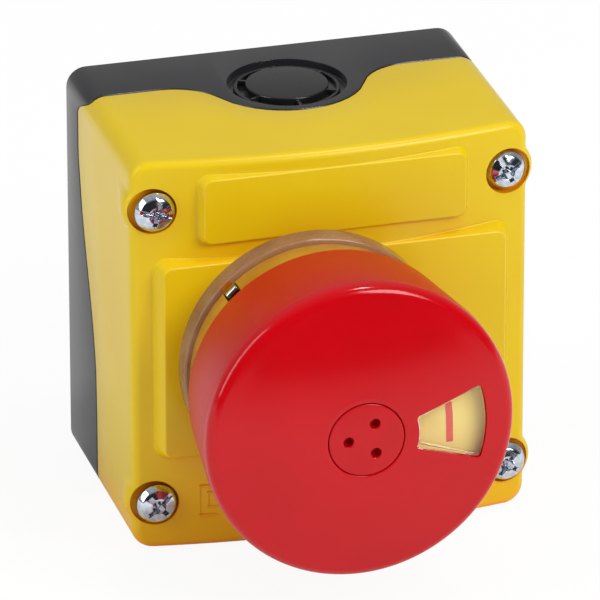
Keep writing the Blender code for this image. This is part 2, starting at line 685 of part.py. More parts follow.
def knockout_profile():
    """Section of the groove round the disc, with the low ring standing in it."""
    proud = 1 * MM
    return [(KNOCKOUT_DISC_RADIUS, proud), (KNOCKOUT_RADIUS, proud), (KNOCKOUT_RADIUS, -KNOCKOUT_DEPTH),
            (KNOCKOUT_RING_OUTER, -KNOCKOUT_DEPTH), (KNOCKOUT_RING_OUTER, -KNOCKOUT_RING_DROP),
            (KNOCKOUT_RING_INNER, -KNOCKOUT_RING_DROP), (KNOCKOUT_RING_INNER, -KNOCKOUT_DEPTH),
            (KNOCKOUT_DISC_RADIUS, -KNOCKOUT_DEPTH)]


def slot_cutter(travel):
    """A stepped wall-fixing hole, long in Z by travel, open through the floor of the base."""
    solid = bmesh.new()
    loops = []
    sink_end = FLOOR_DEPTH + WALL_HOLE_SINK_DEPTH
    stations = ((WALL_HOLE_SINK_RADIUS, FLOOR_DEPTH - 1 * MM), (WALL_HOLE_SINK_RADIUS, sink_end),
                (WALL_HOLE_RADIUS, sink_end), (WALL_HOLE_RADIUS, BOX_DEPTH + 1 * MM))
    for radius, depth in stations:
        loop = []
        for step in range(SMALL_ROUND_STEPS // 2 + 1):
            angle = 2 * math.pi * step / SMALL_ROUND_STEPS
            loop.append((radius * math.cos(angle), travel / 2 + radius * math.sin(angle)))
        loop += [(-x, -z) for x, z in loop]
        if travel <= 0:
            half = len(loop) // 2
            loop = loop[:half - 1] + loop[half:-1]
        loops.append([solid.verts.new((x, depth, z)) for x, z in loop])
    join_rings(solid, loops)
    solid.faces.new(loops[0])
    solid.faces.new(loops[-1][::-1])
    return solid


def screw_places():
    return [(side_x * SCREW_SPACING_X / 2, side_z * SCREW_SPACING_Z / 2)
            for side_z in (1, -1) for side_x in (-1, 1)]


def wall_hole_places():
    return [(side_x * WALL_HOLE_SPACING_X / 2, side_z * WALL_HOLE_SPACING_Z / 2)
            for side_z in (1, -1) for side_x in (-1, 1)]


def screw_seat_depth():
    return SCREW_FACE_DEPTH + COUNTERBORE_DEPTH - FIT_GAP


def screw_tip_depth():
    return screw_seat_depth() + SCREW_LENGTH


def make_cover_gasket(material, parent):
    solid = bmesh.new()
    thin = FIT_GAP / 2
    front = -(TONGUE_HEIGHT + FIT_GAP + GASKET_HEIGHT)
    rear = -(TONGUE_HEIGHT + FIT_GAP)
    rings = [ring(solid, cavity_outline(thin), from_seam=front),
             ring(solid, cavity_outline(TONGUE_WIDTH), from_seam=front),
             ring(solid, cavity_outline(TONGUE_WIDTH), from_seam=rear),
             ring(solid, cavity_outline(thin), from_seam=rear)]
    join_rings(solid, rings, closed=True)
    return make_object("cover_gasket", solid, material, parent)


def make_cover_screws(material, parent):
    head_rear = screw_seat_depth()
    head_front = head_rear - SCREW_HEAD_HEIGHT
    dome = []
    for step in range(4):
        angle = math.radians(24 + 66 * step / 3)
        dome.append((SCREW_HEAD_RADIUS * math.sin(angle),
                     head_front + (SCREW_HEAD_HEIGHT - 0.8 * MM) * (1 - math.cos(angle))))
    tip = screw_tip_depth()
    profile = [(0, head_front)] + dome
    profile += [(SCREW_HEAD_RADIUS, head_rear), (SCREW_SHANK_RADIUS, head_rear),
                (SCREW_SHANK_RADIUS, tip - 1.5 * MM), (SCREW_SHANK_RADIUS - 0.8 * MM, tip), (0, tip)]
    for number, ((x, z), turn) in enumerate(zip(screw_places(), SCREW_TURNS), start=1):
        screw = make_object("cover_screw_%d" % number, turned(profile, SMALL_ROUND_STEPS), material, parent,
                            (x, 0, z), (0, math.radians(turn), 0))
        for arm, size in enumerate(((SCREW_CROSS_LENGTH, SCREW_CROSS_WIDTH),
                                    (SCREW_CROSS_WIDTH, SCREW_CROSS_LENGTH)), start=1):
            arm_block = block((size[0], 2 * SCREW_CROSS_DEPTH, size[1]), (0, head_front, 0))
            cutter = make_object("cross_%d_%d" % (number, arm), arm_block, None, screw)
            cut(screw, cutter)


# Pushbutton. All of it is built about its own axis and hung on an empty there.

def dome_depth(radius):
    """Depth of the cap's front surface at a distance from the axis."""
    return -CAP_TOP_PROUD + radius ** 2 / (2 * CAP_DOME_RADIUS)


def cap_profile():
    rim_x = CAP_RADIUS - CAP_RIM_ROUNDING
    rim_depth = dome_depth(rim_x)
    outer = []
    for step in range(5):
        angle = math.radians(90 * step / 4)
        outer.append((rim_x + CAP_RIM_ROUNDING * math.sin(angle),
                      rim_depth + CAP_RIM_ROUNDING * (1 - math.cos(angle))))
    front = [(radius, dome_depth(radius)) for radius in (PLUG_RADIUS + FIT_GAP, 12 * MM, 19 * MM)]
    inner_front_radius = CAP_RADIUS - CAP_WALL - 0.6 * MM
    inner_front = dome_depth(rim_x) + CAP_FRONT_THICKNESS
    rear = -CAP_REAR_PROUD
    inner = [(CAP_REAR_RADIUS - CAP_WALL, rear), (inner_front_radius, inner_front + 1.0 * MM),
             (inner_front_radius - 1.0 * MM, inner_front), (PLUG_RADIUS + FIT_GAP, inner_front)]
    return front + outer + [(CAP_RADIUS, -CAP_RIM_PROUD), (CAP_REAR_RADIUS, rear)] + inner


def sector(inner, outer, half_angle, front, rear, steps=8, dome=False):
    """A sector of a ring about the axis, between two depths."""
    solid = bmesh.new()
    loops = []
    for depth in (front, rear):
        loop = []
        for radius, way in ((outer, 1), (inner, -1)):
            for step in range(steps + 1):
                angle = math.radians(WINDOW_MIDDLE_ANGLE + way * half_angle * (2 * step / steps - 1))
                lift = dome_depth(radius) - front if dome and depth == front else 0.0
                loop.append(solid.verts.new((radius * math.cos(angle), depth + lift, radius * math.sin(angle))))
        loops.append(loop)
    join_rings(solid, loops)
    solid.faces.new(loops[0])
    solid.faces.new(loops[-1][::-1])
    return solid


def make_button_cap(material, parent):
    cap = make_object("button_cap", turned(cap_profile(), CAP_STEPS, closed=True), material, parent)
    opening = sector(WINDOW_INNER_RADIUS, WINDOW_OUTER_RADIUS, WINDOW_HALF_ANGLE,
                     -CAP_TOP_PROUD - 1 * MM, -CAP_RIM_PROUD)
    cut(cap, make_object("window_opening", opening, None, parent))
    return cap


def make_window_lens(material, parent):
    gap_angle = math.degrees(LENS_GAP / WINDOW_INNER_RADIUS)
    front = dome_depth(WINDOW_INNER_RADIUS)
    solid = sector(WINDOW_INNER_RADIUS + LENS_GAP, WINDOW_OUTER_RADIUS - LENS_GAP,
                   WINDOW_HALF_ANGLE - gap_angle, front, dome_depth(WINDOW_OUTER_RADIUS) + LENS_THICKNESS, dome=True)
    return make_object("window_lens", solid, material, parent)


def make_centre_plug(material, parent):
    front = dome_depth(PLUG_RADIUS)
    plug = make_object("centre_plug", turned(disc_profile(PLUG_RADIUS, front, front + PLUG_THICKNESS), INNER_ROUND_STEPS),
                       material, parent)
    for number in range(3):
        angle = math.radians(PLUG_HOLE_START + 120 * number)
        hole = rod(PLUG_HOLE_RADIUS, front - 1 * MM, front + PLUG_HOLE_DEPTH,
                   PLUG_HOLE_CIRCLE * math.cos(angle), PLUG_HOLE_CIRCLE * math.sin(angle))
        cut(plug, make_object("plug_hole_%d" % (number + 1), hole, None, parent))
    return plug


def disc_front_depth():
    """The indicator disc lies just behind the flat inside of the cap's front."""
    return dome_depth(CAP_RADIUS - CAP_RIM_ROUNDING) + CAP_FRONT_THICKNESS + 2 * FIT_GAP


def make_indicator_disc(material, parent):
    front = disc_front_depth()
    profile = ring_profile(DISC_INNER_RADIUS, DISC_OUTER_RADIUS, front, front + DISC_THICKNESS)
    return make_object("indicator_disc", turned(profile, INNER_ROUND_STEPS, closed=True), material, parent)


def stem_end_depth():
    return BARREL_END_DEPTH + 1.5 * MM


def shoulder_front_depth():
    return disc_front_depth() + DISC_THICKNESS + FIT_GAP


def make_spindle(material, parent):
    shoulder = shoulder_front_depth()
    hub_front = dome_depth(PLUG_RADIUS) + PLUG_THICKNESS + FIT_GAP
    neck = PLUG_RADIUS - 0.2 * MM
    end = stem_end_depth()
    profile = [(0, hub_front), (neck, hub_front), (neck, disc_front_depth() - FIT_GAP),
               (HUB_RADIUS, disc_front_depth() - FIT_GAP), (HUB_RADIUS, shoulder),
               (SHOULDER_RADIUS, shoulder), (SHOULDER_RADIUS, shoulder + SHOULDER_HEIGHT),
               (STEM_RADIUS, shoulder + SHOULDER_HEIGHT), (STEM_RADIUS, end),
               (STEM_TAIL_RADIUS, end), (STEM_TAIL_RADIUS, end + STEM_TAIL_LENGTH), (0, end + STEM_TAIL_LENGTH)]
    return make_object("spindle", turned(profile, 24), material, parent)


def make_drive_plate(material, parent):
    front = stem_end_depth() + FIT_GAP / 3
    profile = ring_profile(STEM_TAIL_RADIUS + FIT_GAP / 3, DRIVE_PLATE_RADIUS, front, front + DRIVE_PLATE_THICKNESS)
    return make_object("drive_plate", turned(profile, 24, closed=True), material, parent)


def make_operator_body(material, parent):
    profile = [(BARREL_BORE_RADIUS, FLANGE_FRONT), (FLANGE_RADIUS, FLANGE_FRONT), (FLANGE_RADIUS, FLANGE_REAR),
               (BARREL_RADIUS, FLANGE_REAR), (BARREL_RADIUS, BARREL_END_DEPTH),
               (BARREL_WIDE_BORE_RADIUS, BARREL_END_DEPTH),
               (BARREL_WIDE_BORE_RADIUS, BARREL_WIDE_BORE_START), (BARREL_BORE_RADIUS, BARREL_WIDE_BORE_START)]
    return make_object("operator_body", turned(profile, INNER_ROUND_STEPS, closed=True), material, parent)


def make_cam_ring(material, parent):
    front = BARREL_WIDE_BORE_START + FIT_GAP
    outer = BARREL_WIDE_BORE_RADIUS - FIT_GAP
    rear = front + CAM_RING_THICKNESS
    cam = make_object("cam_ring", turned(ring_profile(CAM_RING_BORE_RADIUS, outer, front, rear), 24, closed=True),
                      material, parent)
    for number in range(CAM_NOTCH_COUNT):
        angle = 2 * math.pi * number / CAM_NOTCH_COUNT
        notch = block((CAM_NOTCH_WIDTH, 2 * CAM_NOTCH_DEPTH, 4 * MM), (0, rear, (outer + CAM_RING_BORE_RADIUS) / 2))
        cut(cam, make_object("cam_notch_%d" % (number + 1), notch, None, parent, (0, 0, 0), (0, angle, 0)))
    return cam


def make_bezel_ring(material, parent):
    edge = 0.5 * MM
    profile = [(RING_BORE_RADIUS, RING_FRONT), (RING_RADIUS - edge, RING_FRONT), (RING_RADIUS, RING_FRONT + edge),
               (RING_RADIUS, RING_REAR), (RING_BORE_RADIUS, RING_REAR)]
    return make_object("bezel_ring", turned(profile, ROUND_STEPS, closed=True), material, parent)


def make_panel_seal(material, parent):
    profile = ring_profile(SEAL_INNER_RADIUS, SEAL_OUTER_RADIUS, SEAL_FRONT, SEAL_REAR)
    return make_object("panel_seal", turned(profile, INNER_ROUND_STEPS, closed=True), material, parent)


def make_collar_sleeve(material, parent):
    inner = SLEEVE_RADIUS - SLEEVE_WALL
    profile = [(SLEEVE_HOLE_RADIUS, SLEEVE_FLOOR_FRONT), (inner, SLEEVE_FLOOR_FRONT), (inner, SLEEVE_FRONT),
               (SLEEVE_RADIUS, SLEEVE_FRONT), (SLEEVE_RADIUS, SLEEVE_REAR), (SLEEVE_HOLE_RADIUS, SLEEVE_REAR)]
    sleeve = make_object("collar_sleeve", turned(profile, ROUND_STEPS, closed=True), material, parent)
    slot = block((4 * SLEEVE_WALL, SLOT_LENGTH, SLOT_WIDTH),
                 (SLEEVE_RADIUS, SLEEVE_REAR - SLOT_FROM_SLEEVE_REAR - SLOT_LENGTH / 2, 0))
    angle = (0, -math.radians(SLOT_ANGLE), 0)
    cut(sleeve, make_object("sleeve_slot", slot, None, parent, (0, 0, 0), angle))
    return sleeve


def make_ring_pin(material, parent):
    """A short cross pin lying in the sleeve's slot."""
    solid = turned(disc_profile(PIN_RADIUS, -PIN_LENGTH / 2, PIN_LENGTH / 2), SMALL_ROUND_STEPS)
    bmesh.ops.rotate(solid, cent=(0, 0, 0), matrix=Matrix.Rotation(math.pi / 2, 3, "X"), verts=solid.verts)
    depth = SLEEVE_REAR - PIN_FROM_SLEEVE_REAR
    reach = SLEEVE_RADIUS - SLEEVE_WALL / 2
    bmesh.ops.translate(solid, vec=(reach, depth, 0), verts=solid.verts)
    return make_object("ring_pin", solid, material, parent, (0, 0, 0), (0, -math.radians(SLOT_ANGLE), 0))


def make_fixing_nut(material, parent):
    front = NUT_SEAT_DEPTH + FIT_GAP
    profile = ring_profile(BARREL_RADIUS + FIT_GAP, NUT_RADIUS, front, front + NUT_HEIGHT)
    nut = make_object("fixing_nut", turned(profile, INNER_ROUND_STEPS, closed=True), material, parent)
    for number in range(NUT_NOTCH_COUNT):
        angle = math.radians(NUT_NOTCH_START + 360 * number / NUT_NOTCH_COUNT)
        notch = rod(NUT_NOTCH_RADIUS, front + 1.5 * MM, front + NUT_HEIGHT + 1 * MM,
                    NUT_RADIUS * math.cos(angle), NUT_RADIUS * math.sin(angle), 8)
        cut(nut, make_object("nut_notch_%d" % (number + 1), notch, None, parent))
    return nut


def make_return_spring(material, parent):
    front = shoulder_front_depth() + SHOULDER_HEIGHT + FIT_GAP
    solid = coil(SPRING_COIL_RADIUS, SPRING_WIRE_RADIUS, front, FLANGE_FRONT - FIT_GAP,
                 SPRING_TURNS, SPRING_END_TURNS)
    return make_object("return_spring", solid, material, parent)


# Contact blocks. Each is built about the plunger's axis, which lies beside the button's axis.

def bridge_front_depth():
    return TERMINAL_DEPTH + TERMINAL_THICKNESS + CONTACT_TIP_HEIGHT + CONTACT_GAP


def make_contact_housing(number, material, parent):
    rear = FLOOR_DEPTH - FIT_GAP
    depth = rear - BLOCK_FRONT_DEPTH
    housing = make_object("contact_housing_%d" % number,
                          block((BLOCK_WIDTH, depth, BLOCK_LENGTH), (0, BLOCK_FRONT_DEPTH + depth / 2, 0)),
                          material, parent)
    chamber_depth = rear - BLOCK_REAR_WALL - BLOCK_CHAMBER_DEPTH
    chamber = block((BLOCK_CHAMBER_WIDTH, chamber_depth, BLOCK_CHAMBER_LENGTH),
                    (0, BLOCK_CHAMBER_DEPTH + chamber_depth / 2, 0))
    cut(housing, make_object("chamber_%d" % number, chamber, None, parent))
    guide_depth = BLOCK_CHAMBER_DEPTH - BLOCK_FRONT_DEPTH + 2 * MM
    guide = block((PLUNGER_WIDTH + 2 * FIT_GAP, guide_depth, PLUNGER_LENGTH + 2 * FIT_GAP),
                  (0, BLOCK_CHAMBER_DEPTH + 1 * MM - guide_depth / 2, 0))
    cut(housing, make_object("plunger_guide_%d" % number, guide, None, parent))
    pocket_depth = TERMINAL_POCKET_END - BLOCK_FRONT_DEPTH + 1 * MM
    strip_reach = (TERMINAL_INNER_REACH + BLOCK_LENGTH / 2) / 2
    for side in (-1, 1):
        pocket = block((TERMINAL_POCKET_WIDTH, pocket_depth, TERMINAL_POCKET_LENGTH),
                       (0, TERMINAL_POCKET_END - pocket_depth / 2, side * TERMINAL_SCREW_REACH))
        cut(housing, make_object("pocket_%d_%d" % (number, side + 1), pocket, None, parent))
        channel = block((TERMINAL_WIDTH + 2 * FIT_GAP, TERMINAL_THICKNESS + 2 * FIT_GAP,
                         BLOCK_LENGTH / 2 - TERMINAL_INNER_REACH + 2 * MM),
                        (0, TERMINAL_DEPTH + TERMINAL_THICKNESS / 2, side * (strip_reach + 1 * MM)))
        cut(housing, make_object("strip_channel_%d_%d" % (number, side + 1), channel, None, parent))
    return housing


def make_contact_plunger(number, front, material, parent):
    """Push rod with a foot that carries the bridge."""
    foot_front = bridge_front_depth() - PLUNGER_FOOT_HEIGHT - FIT_GAP / 3
    depth = foot_front - front + PLUNGER_FOOT_HEIGHT / 2
    plunger = make_object("contact_plunger_%d" % number,
                          block((PLUNGER_WIDTH, depth, PLUNGER_LENGTH), (0, front + depth / 2, 0)), material, parent)
    foot = block((PLUNGER_WIDTH + 1.2 * MM, PLUNGER_FOOT_HEIGHT, PLUNGER_FOOT_LENGTH),
                 (0, foot_front + PLUNGER_FOOT_HEIGHT / 2, 0))
    cut(plunger, make_object("plunger_foot_%d" % number, foot, None, parent), "UNION")
    return plunger


def make_contact_bridge(number, material, parent):
    front = bridge_front_depth()
    bridge = make_object("contact_bridge_%d" % number,
                         block((BRIDGE_WIDTH, BRIDGE_THICKNESS, BRIDGE_LENGTH), (0, front + BRIDGE_THICKNESS / 2, 0)),
                         material, parent)
    return bridge


def make_contact_spring(number, material, parent):
    front = bridge_front_depth() + BRIDGE_THICKNESS + FIT_GAP
    rear = FLOOR_DEPTH - FIT_GAP - BLOCK_REAR_WALL - FIT_GAP
    solid = coil(CONTACT_SPRING_RADIUS, CONTACT_SPRING_WIRE, front, rear, CONTACT_SPRING_TURNS, 0.75, 4, 8)
    return make_object("contact_spring_%d" % number, solid, material, parent)


def make_fixed_terminal(number, side, material, parent):
    name = "fixed_terminal_%d%s" % (number, "a" if side > 0 else "b")
    length = TERMINAL_OUTER_REACH - TERMINAL_INNER_REACH
    middle = (TERMINAL_OUTER_REACH + TERMINAL_INNER_REACH) / 2
    strip = make_object(name, block((TERMINAL_WIDTH, TERMINAL_THICKNESS, length),
                                    (0, TERMINAL_DEPTH + TERMINAL_THICKNESS / 2, side * middle)), material, parent)
    rear = TERMINAL_DEPTH + TERMINAL_THICKNESS
    tip = rod(CONTACT_TIP_RADIUS, rear - TERMINAL_THICKNESS / 2, rear + CONTACT_TIP_HEIGHT,
              0, side * CONTACT_TIP_REACH)
    cut(strip, make_object("tip_" + name, tip, None, parent), "UNION")
    hole = rod(TERMINAL_SCREW_RADIUS + TERMINAL_SCREW_HOLE_CLEARANCE, TERMINAL_DEPTH - 1 * MM, rear + 1 * MM,
               0, side * TERMINAL_SCREW_REACH)
    cut(strip, make_object("hole_" + name, hole, None, parent))
    return strip


def make_terminal_screw(number, side, material, parent):
    name = "terminal_screw_%d%s" % (number, "a" if side > 0 else "b")
    seat = TERMINAL_DEPTH - FIT_GAP
    front = seat - TERMINAL_SCREW_HEAD_HEIGHT
    profile = [(0, front), (TERMINAL_SCREW_HEAD_RADIUS, front), (TERMINAL_SCREW_HEAD_RADIUS, seat),
               (TERMINAL_SCREW_RADIUS, seat), (TERMINAL_SCREW_RADIUS, seat + TERMINAL_SCREW_LENGTH),
               (0, seat + TERMINAL_SCREW_LENGTH)]
    screw = make_object(name, turned(profile, SMALL_ROUND_STEPS), material, parent,
                        (0, 0, side * TERMINAL_SCREW_REACH))
    slot = block((SCREW_CROSS_LENGTH * 1.2, 0.8 * MM, 0.6 * MM), (0, front, 0))
    cut(screw, make_object("slot_" + name, slot, None, screw))
    return screw


# Assembly

def build():
    for thing in list(bpy.data.objects):
        bpy.data.objects.remove(thing, do_unlink=True)

    yellow = make_material("yellow_plastic", (0.72, 0.47, 0.03), 0.38)
    dark = make_material("dark_plastic", (0.065, 0.062, 0.066), 0.5)
    red = make_material("red_plastic", (0.60, 0.0, 0.006), 0.35)
    clear = make_material("clear_plastic", (0.75, 0.66, 0.5), 0.12, alpha=0.5)
    amber = make_material("amber_plastic", (0.62, 0.38, 0.08), 0.2)
    pale = make_material("pale_yellow", (0.78, 0.60, 0.22), 0.45)
    rubber = make_material("rubber", (0.03, 0.03, 0.03), 0.8)
    zinc = make_material("zinc_plate", (0.72, 0.74, 0.76), 0.25, 1.0)
    steel = make_material("spring_steel", (0.55, 0.56, 0.58), 0.3, 1.0)
    brass = make_material("brass", (0.75, 0.56, 0.25), 0.3, 1.0)
    white = make_material("white_plastic", (0.72, 0.72, 0.70), 0.5)
    grey = make_material("grey_plastic", (0.28, 0.29, 0.30), 0.5)

    box = make_empty("box_centre", (0, FRAME_DEPTH, HALF_HEIGHT))
    axis = make_empty("button_axis", (AXIS_X, 0, AXIS_Z), box)
    push = make_empty("push_axis", (0, 0, 0), axis)

    make_front_cover(yellow, box)
    make_rear_base(dark, box)
    make_cover_gasket(rubber, box)
    make_cover_screws(zinc, box)

    make_operator_body(dark, axis)
    make_panel_seal(rubber, axis)
    make_bezel_ring(clear, axis)
    make_collar_sleeve(amber, axis)
    make_ring_pin(zinc, axis)
    make_fixing_nut(grey, axis)
    make_cam_ring(white, axis)
    make_return_spring(steel, axis)

    make_spindle(grey, push)
    make_drive_plate(white, push)
    make_indicator_disc(pale, push)
    make_button_cap(red, push)
    make_centre_plug(red, push)
    make_window_lens(clear, push)

    plate_rear = stem_end_depth() + FIT_GAP / 3 + DRIVE_PLATE_THICKNESS
    for number, side in enumerate((-1, 1), start=1):
        contact = make_empty("contact_axis_%d" % number, (side * BLOCK_SPACING / 2, 0, 0), axis)
        make_contact_housing(number, grey, contact)
        make_contact_plunger(number, plate_rear + FIT_GAP, white, contact)
        make_contact_bridge(number, brass, contact)
        make_contact_spring(number, steel, contact)
        for end in (1, -1):
            make_fixed_terminal(number, end, brass, contact)
            make_terminal_screw(number, end, zinc, contact)


build()
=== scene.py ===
import math
import bpy
import bmesh
from mathutils import Matrix, Vector


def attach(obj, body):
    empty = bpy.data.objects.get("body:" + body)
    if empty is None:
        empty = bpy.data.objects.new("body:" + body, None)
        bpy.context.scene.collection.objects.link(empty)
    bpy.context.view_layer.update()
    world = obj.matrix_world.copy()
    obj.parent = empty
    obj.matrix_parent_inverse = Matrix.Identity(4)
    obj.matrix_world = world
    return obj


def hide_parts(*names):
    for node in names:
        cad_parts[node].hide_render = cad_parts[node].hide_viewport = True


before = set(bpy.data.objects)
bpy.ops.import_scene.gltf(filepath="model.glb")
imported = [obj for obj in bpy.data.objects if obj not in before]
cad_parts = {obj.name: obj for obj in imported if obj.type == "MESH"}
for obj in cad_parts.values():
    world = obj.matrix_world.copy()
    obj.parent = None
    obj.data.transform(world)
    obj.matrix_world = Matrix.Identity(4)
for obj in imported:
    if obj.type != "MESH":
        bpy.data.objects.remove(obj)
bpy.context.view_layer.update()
print("frame loaded")

mm = 0.001
boxPlace = Vector((0, -5.35, 36.4)) * mm        # highest line of the cover's face, middle of the box
buttonPlace = Vector((-5.1, -5.35, 35.6)) * mm  # button axis, same depth


# Colours and finishes

def shown(red, green, blue):
    # screen colour 0..255 to the value a shader wants
    def straight(value):
        value = value / 255
        return value / 12.92 if value <= 0.04045 else ((value + 0.055) / 1.055) ** 2.4
    return (straight(red), straight(green), straight(blue), 1)


def addNode(tree, kind, **settings):
    # a setting is one of the node's own options, or else the value of an input
    node = tree.nodes.new(kind)
    for name, value in settings.items():
        if hasattr(node, name):
            setattr(node, name, value)
        else:
            node.inputs[name.replace("_", " ")].default_value = value
    return node


def newFinish(name):
    finish = bpy.data.materials.new(name)
    finish.use_nodes = True
    tree = finish.node_tree
    shader = tree.nodes["Principled BSDF"]
    place = addNode(tree, "ShaderNodeTexCoord")
    return finish, tree, shader, place.outputs["Object"]


def speckle(tree, place, size, detail=2.0, squash=None):
    # noise whose grains are about size mm across
    if squash:
        stretch = addNode(tree, "ShaderNodeMapping")
        stretch.inputs["Scale"].default_value = squash
        tree.links.new(place, stretch.inputs["Vector"])
        place = stretch.outputs["Vector"]
    noise = addNode(tree, "ShaderNodeTexNoise", Scale=1 / (size * mm), Detail=detail)
    tree.links.new(place, noise.inputs["Vector"])
    return noise.outputs["Fac"]


def spread(tree, value, low, high, fromLow=0.3, fromHigh=0.7):
    # maps fromLow..fromHigh of a value to low..high, and holds it at the ends
    ramp = addNode(tree, "ShaderNodeMapRange")
    ends = {"From Min": fromLow, "From Max": fromHigh, "To Min": low, "To Max": high}
    for name, end in ends.items():
        ramp.inputs[name].default_value = end
    tree.links.new(value, ramp.inputs["Value"])
    return ramp.outputs["Result"]


def blendColour(tree, factor, first, second):
    # the first colour may also come from another node
    mix = addNode(tree, "ShaderNodeMix", data_type="RGBA")
    if isinstance(first, tuple):
        mix.inputs[6].default_value = first
    else:
        tree.links.new(first, mix.inputs[6])
    mix.inputs[7].default_value = second
    tree.links.new(factor, mix.inputs[0])
    return mix.outputs[2]


def combine(tree, operation, first, second):
    node = addNode(tree, "ShaderNodeMath", operation=operation)
    tree.links.new(first, node.inputs[0])
    tree.links.new(second, node.inputs[1])
    return node.outputs[0]


def grainBump(tree, shader, height, strength, depth, edge=0.0):
    # fine moulded grain, over edges that are softened by edge mm
    bump = addNode(tree, "ShaderNodeBump", Strength=strength, Distance=depth * mm)
    tree.links.new(height, bump.inputs["Height"])
    if edge > 0:
        soft = addNode(tree, "ShaderNodeBevel", samples=6, Radius=edge * mm)
        tree.links.new(soft.outputs["Normal"], bump.inputs["Normal"])
    tree.links.new(bump.outputs["Normal"], shader.inputs["Normal"])


def mouldedPlastic(name, look):
    finish, tree, shader, place = newFinish(name)
    cloud = speckle(tree, place, look.get("cloud", 14))
    grain = speckle(tree, place, look.get("grain", 0.35), 3)
    colour = blendColour(tree, spread(tree, cloud, 0, 1), look["colour"], look["shade"])
    if look.get("paintedShadeTint"):
        # painted shade: a warmer, redder colour where other surfaces are near, standing in for the head's
        # shadow and the red light it bounces
        paintedShadeNearness = addNode(tree, "ShaderNodeAmbientOcclusion", samples=4, Distance=look["reach"] * mm)
        share = spread(tree, paintedShadeNearness.outputs["AO"], 1, 0, 0.2, 0.6)
        colour = blendColour(tree, share, colour, look["paintedShadeTint"])
    if look.get("paintedEdgeAmber"):
        # painted shade and refraction: another colour beyond a radius about the Y axis, standing in for the
        # shaded, red-walled edge of the window seen through the lens
        flat = addNode(tree, "ShaderNodeVectorMath", operation="MULTIPLY")
        flat.inputs[1].default_value = (1, 0, 1)
        tree.links.new(place, flat.inputs[0])
        reach = addNode(tree, "ShaderNodeVectorMath", operation="LENGTH")
        tree.links.new(flat.outputs[0], reach.inputs[0])
        start, end = look["paintedEdgeAmberFrom"]
        rim = spread(tree, reach.outputs["Value"], 0, 1, start * mm, end * mm)
        colour = blendColour(tree, rim, colour, look["paintedEdgeAmber"])
    tree.links.new(colour, shader.inputs["Base Color"])
    low, high = look.get("rough", (0.34, 0.42))
    rough = spread(tree, grain, low, high)
    if look.get("coarse"):
        # rougher behind a depth
        start, end, extra = look["coarse"]
        depth = addNode(tree, "ShaderNodeSeparateXYZ")
        tree.links.new(place, depth.inputs[0])
        rough = combine(tree, "ADD", rough, spread(tree, depth.outputs["Y"], 0, extra, start * mm, end * mm))
    tree.links.new(rough, shader.inputs["Roughness"])
    grainBump(tree, shader, grain, look.get("bump", 0.12), look.get("depth", 0.03), look.get("edge", 0))
    shader.inputs["IOR"].default_value = 1.46
    shader.inputs["Specular IOR Level"].default_value = look.get("gloss", 0.5)
    if look.get("glow"):
        shader.inputs["Subsurface Weight"].default_value = look["glow"]
        shader.inputs["Subsurface Radius"].default_value = (1.0, 0.5, 0.2)
        shader.inputs["Subsurface Scale"].default_value = look.get("glowDepth", 1.0) * mm
    return finish


def platedMetal(name, look):
    finish, tree, shader, place = newFinish(name)
    cloud = speckle(tree, place, look.get("cloud", 1.2), 4)
    grain = speckle(tree, place, look.get("grain", 0.12), 3, look.get("lay"))
    colour = blendColour(tree, spread(tree, cloud, 0, 1), look["colour"], look["shade"])
    tree.links.new(colour, shader.inputs["Base Color"])
    low, high = look.get("rough", (0.16, 0.3))
    tree.links.new(spread(tree, cloud, low, high), shader.inputs["Roughness"])
    grainBump(tree, shader, grain, look.get("bump", 0.1), look.get("depth", 0.02), look.get("edge", 0))
    shader.inputs["Metallic"].default_value = 1
    return finish


def clearMoulding(name, look):
    finish, tree, shader, place = newFinish(name)
    cloud = speckle(tree, place, look.get("cloud", 5), 3)
    ripple = speckle(tree, place, look.get("grain", 1.5), 2)
    colour = blendColour(tree, spread(tree, cloud, 0, 1), look["colour"], look["shade"])
    tree.links.new(colour, shader.inputs["Base Color"])
    low, high = look.get("rough", (0.02, 0.08))
    tree.links.new(spread(tree, ripple, low, high), shader.inputs["Roughness"])
    grainBump(tree, shader, ripple, look.get("bump", 0.2), look.get("depth", 0.1), look.get("edge", 0))
    shader.inputs["Transmission Weight"].default_value = look.get("clear", 1.0)
    shader.inputs["IOR"].default_value = 1.49
    return finish


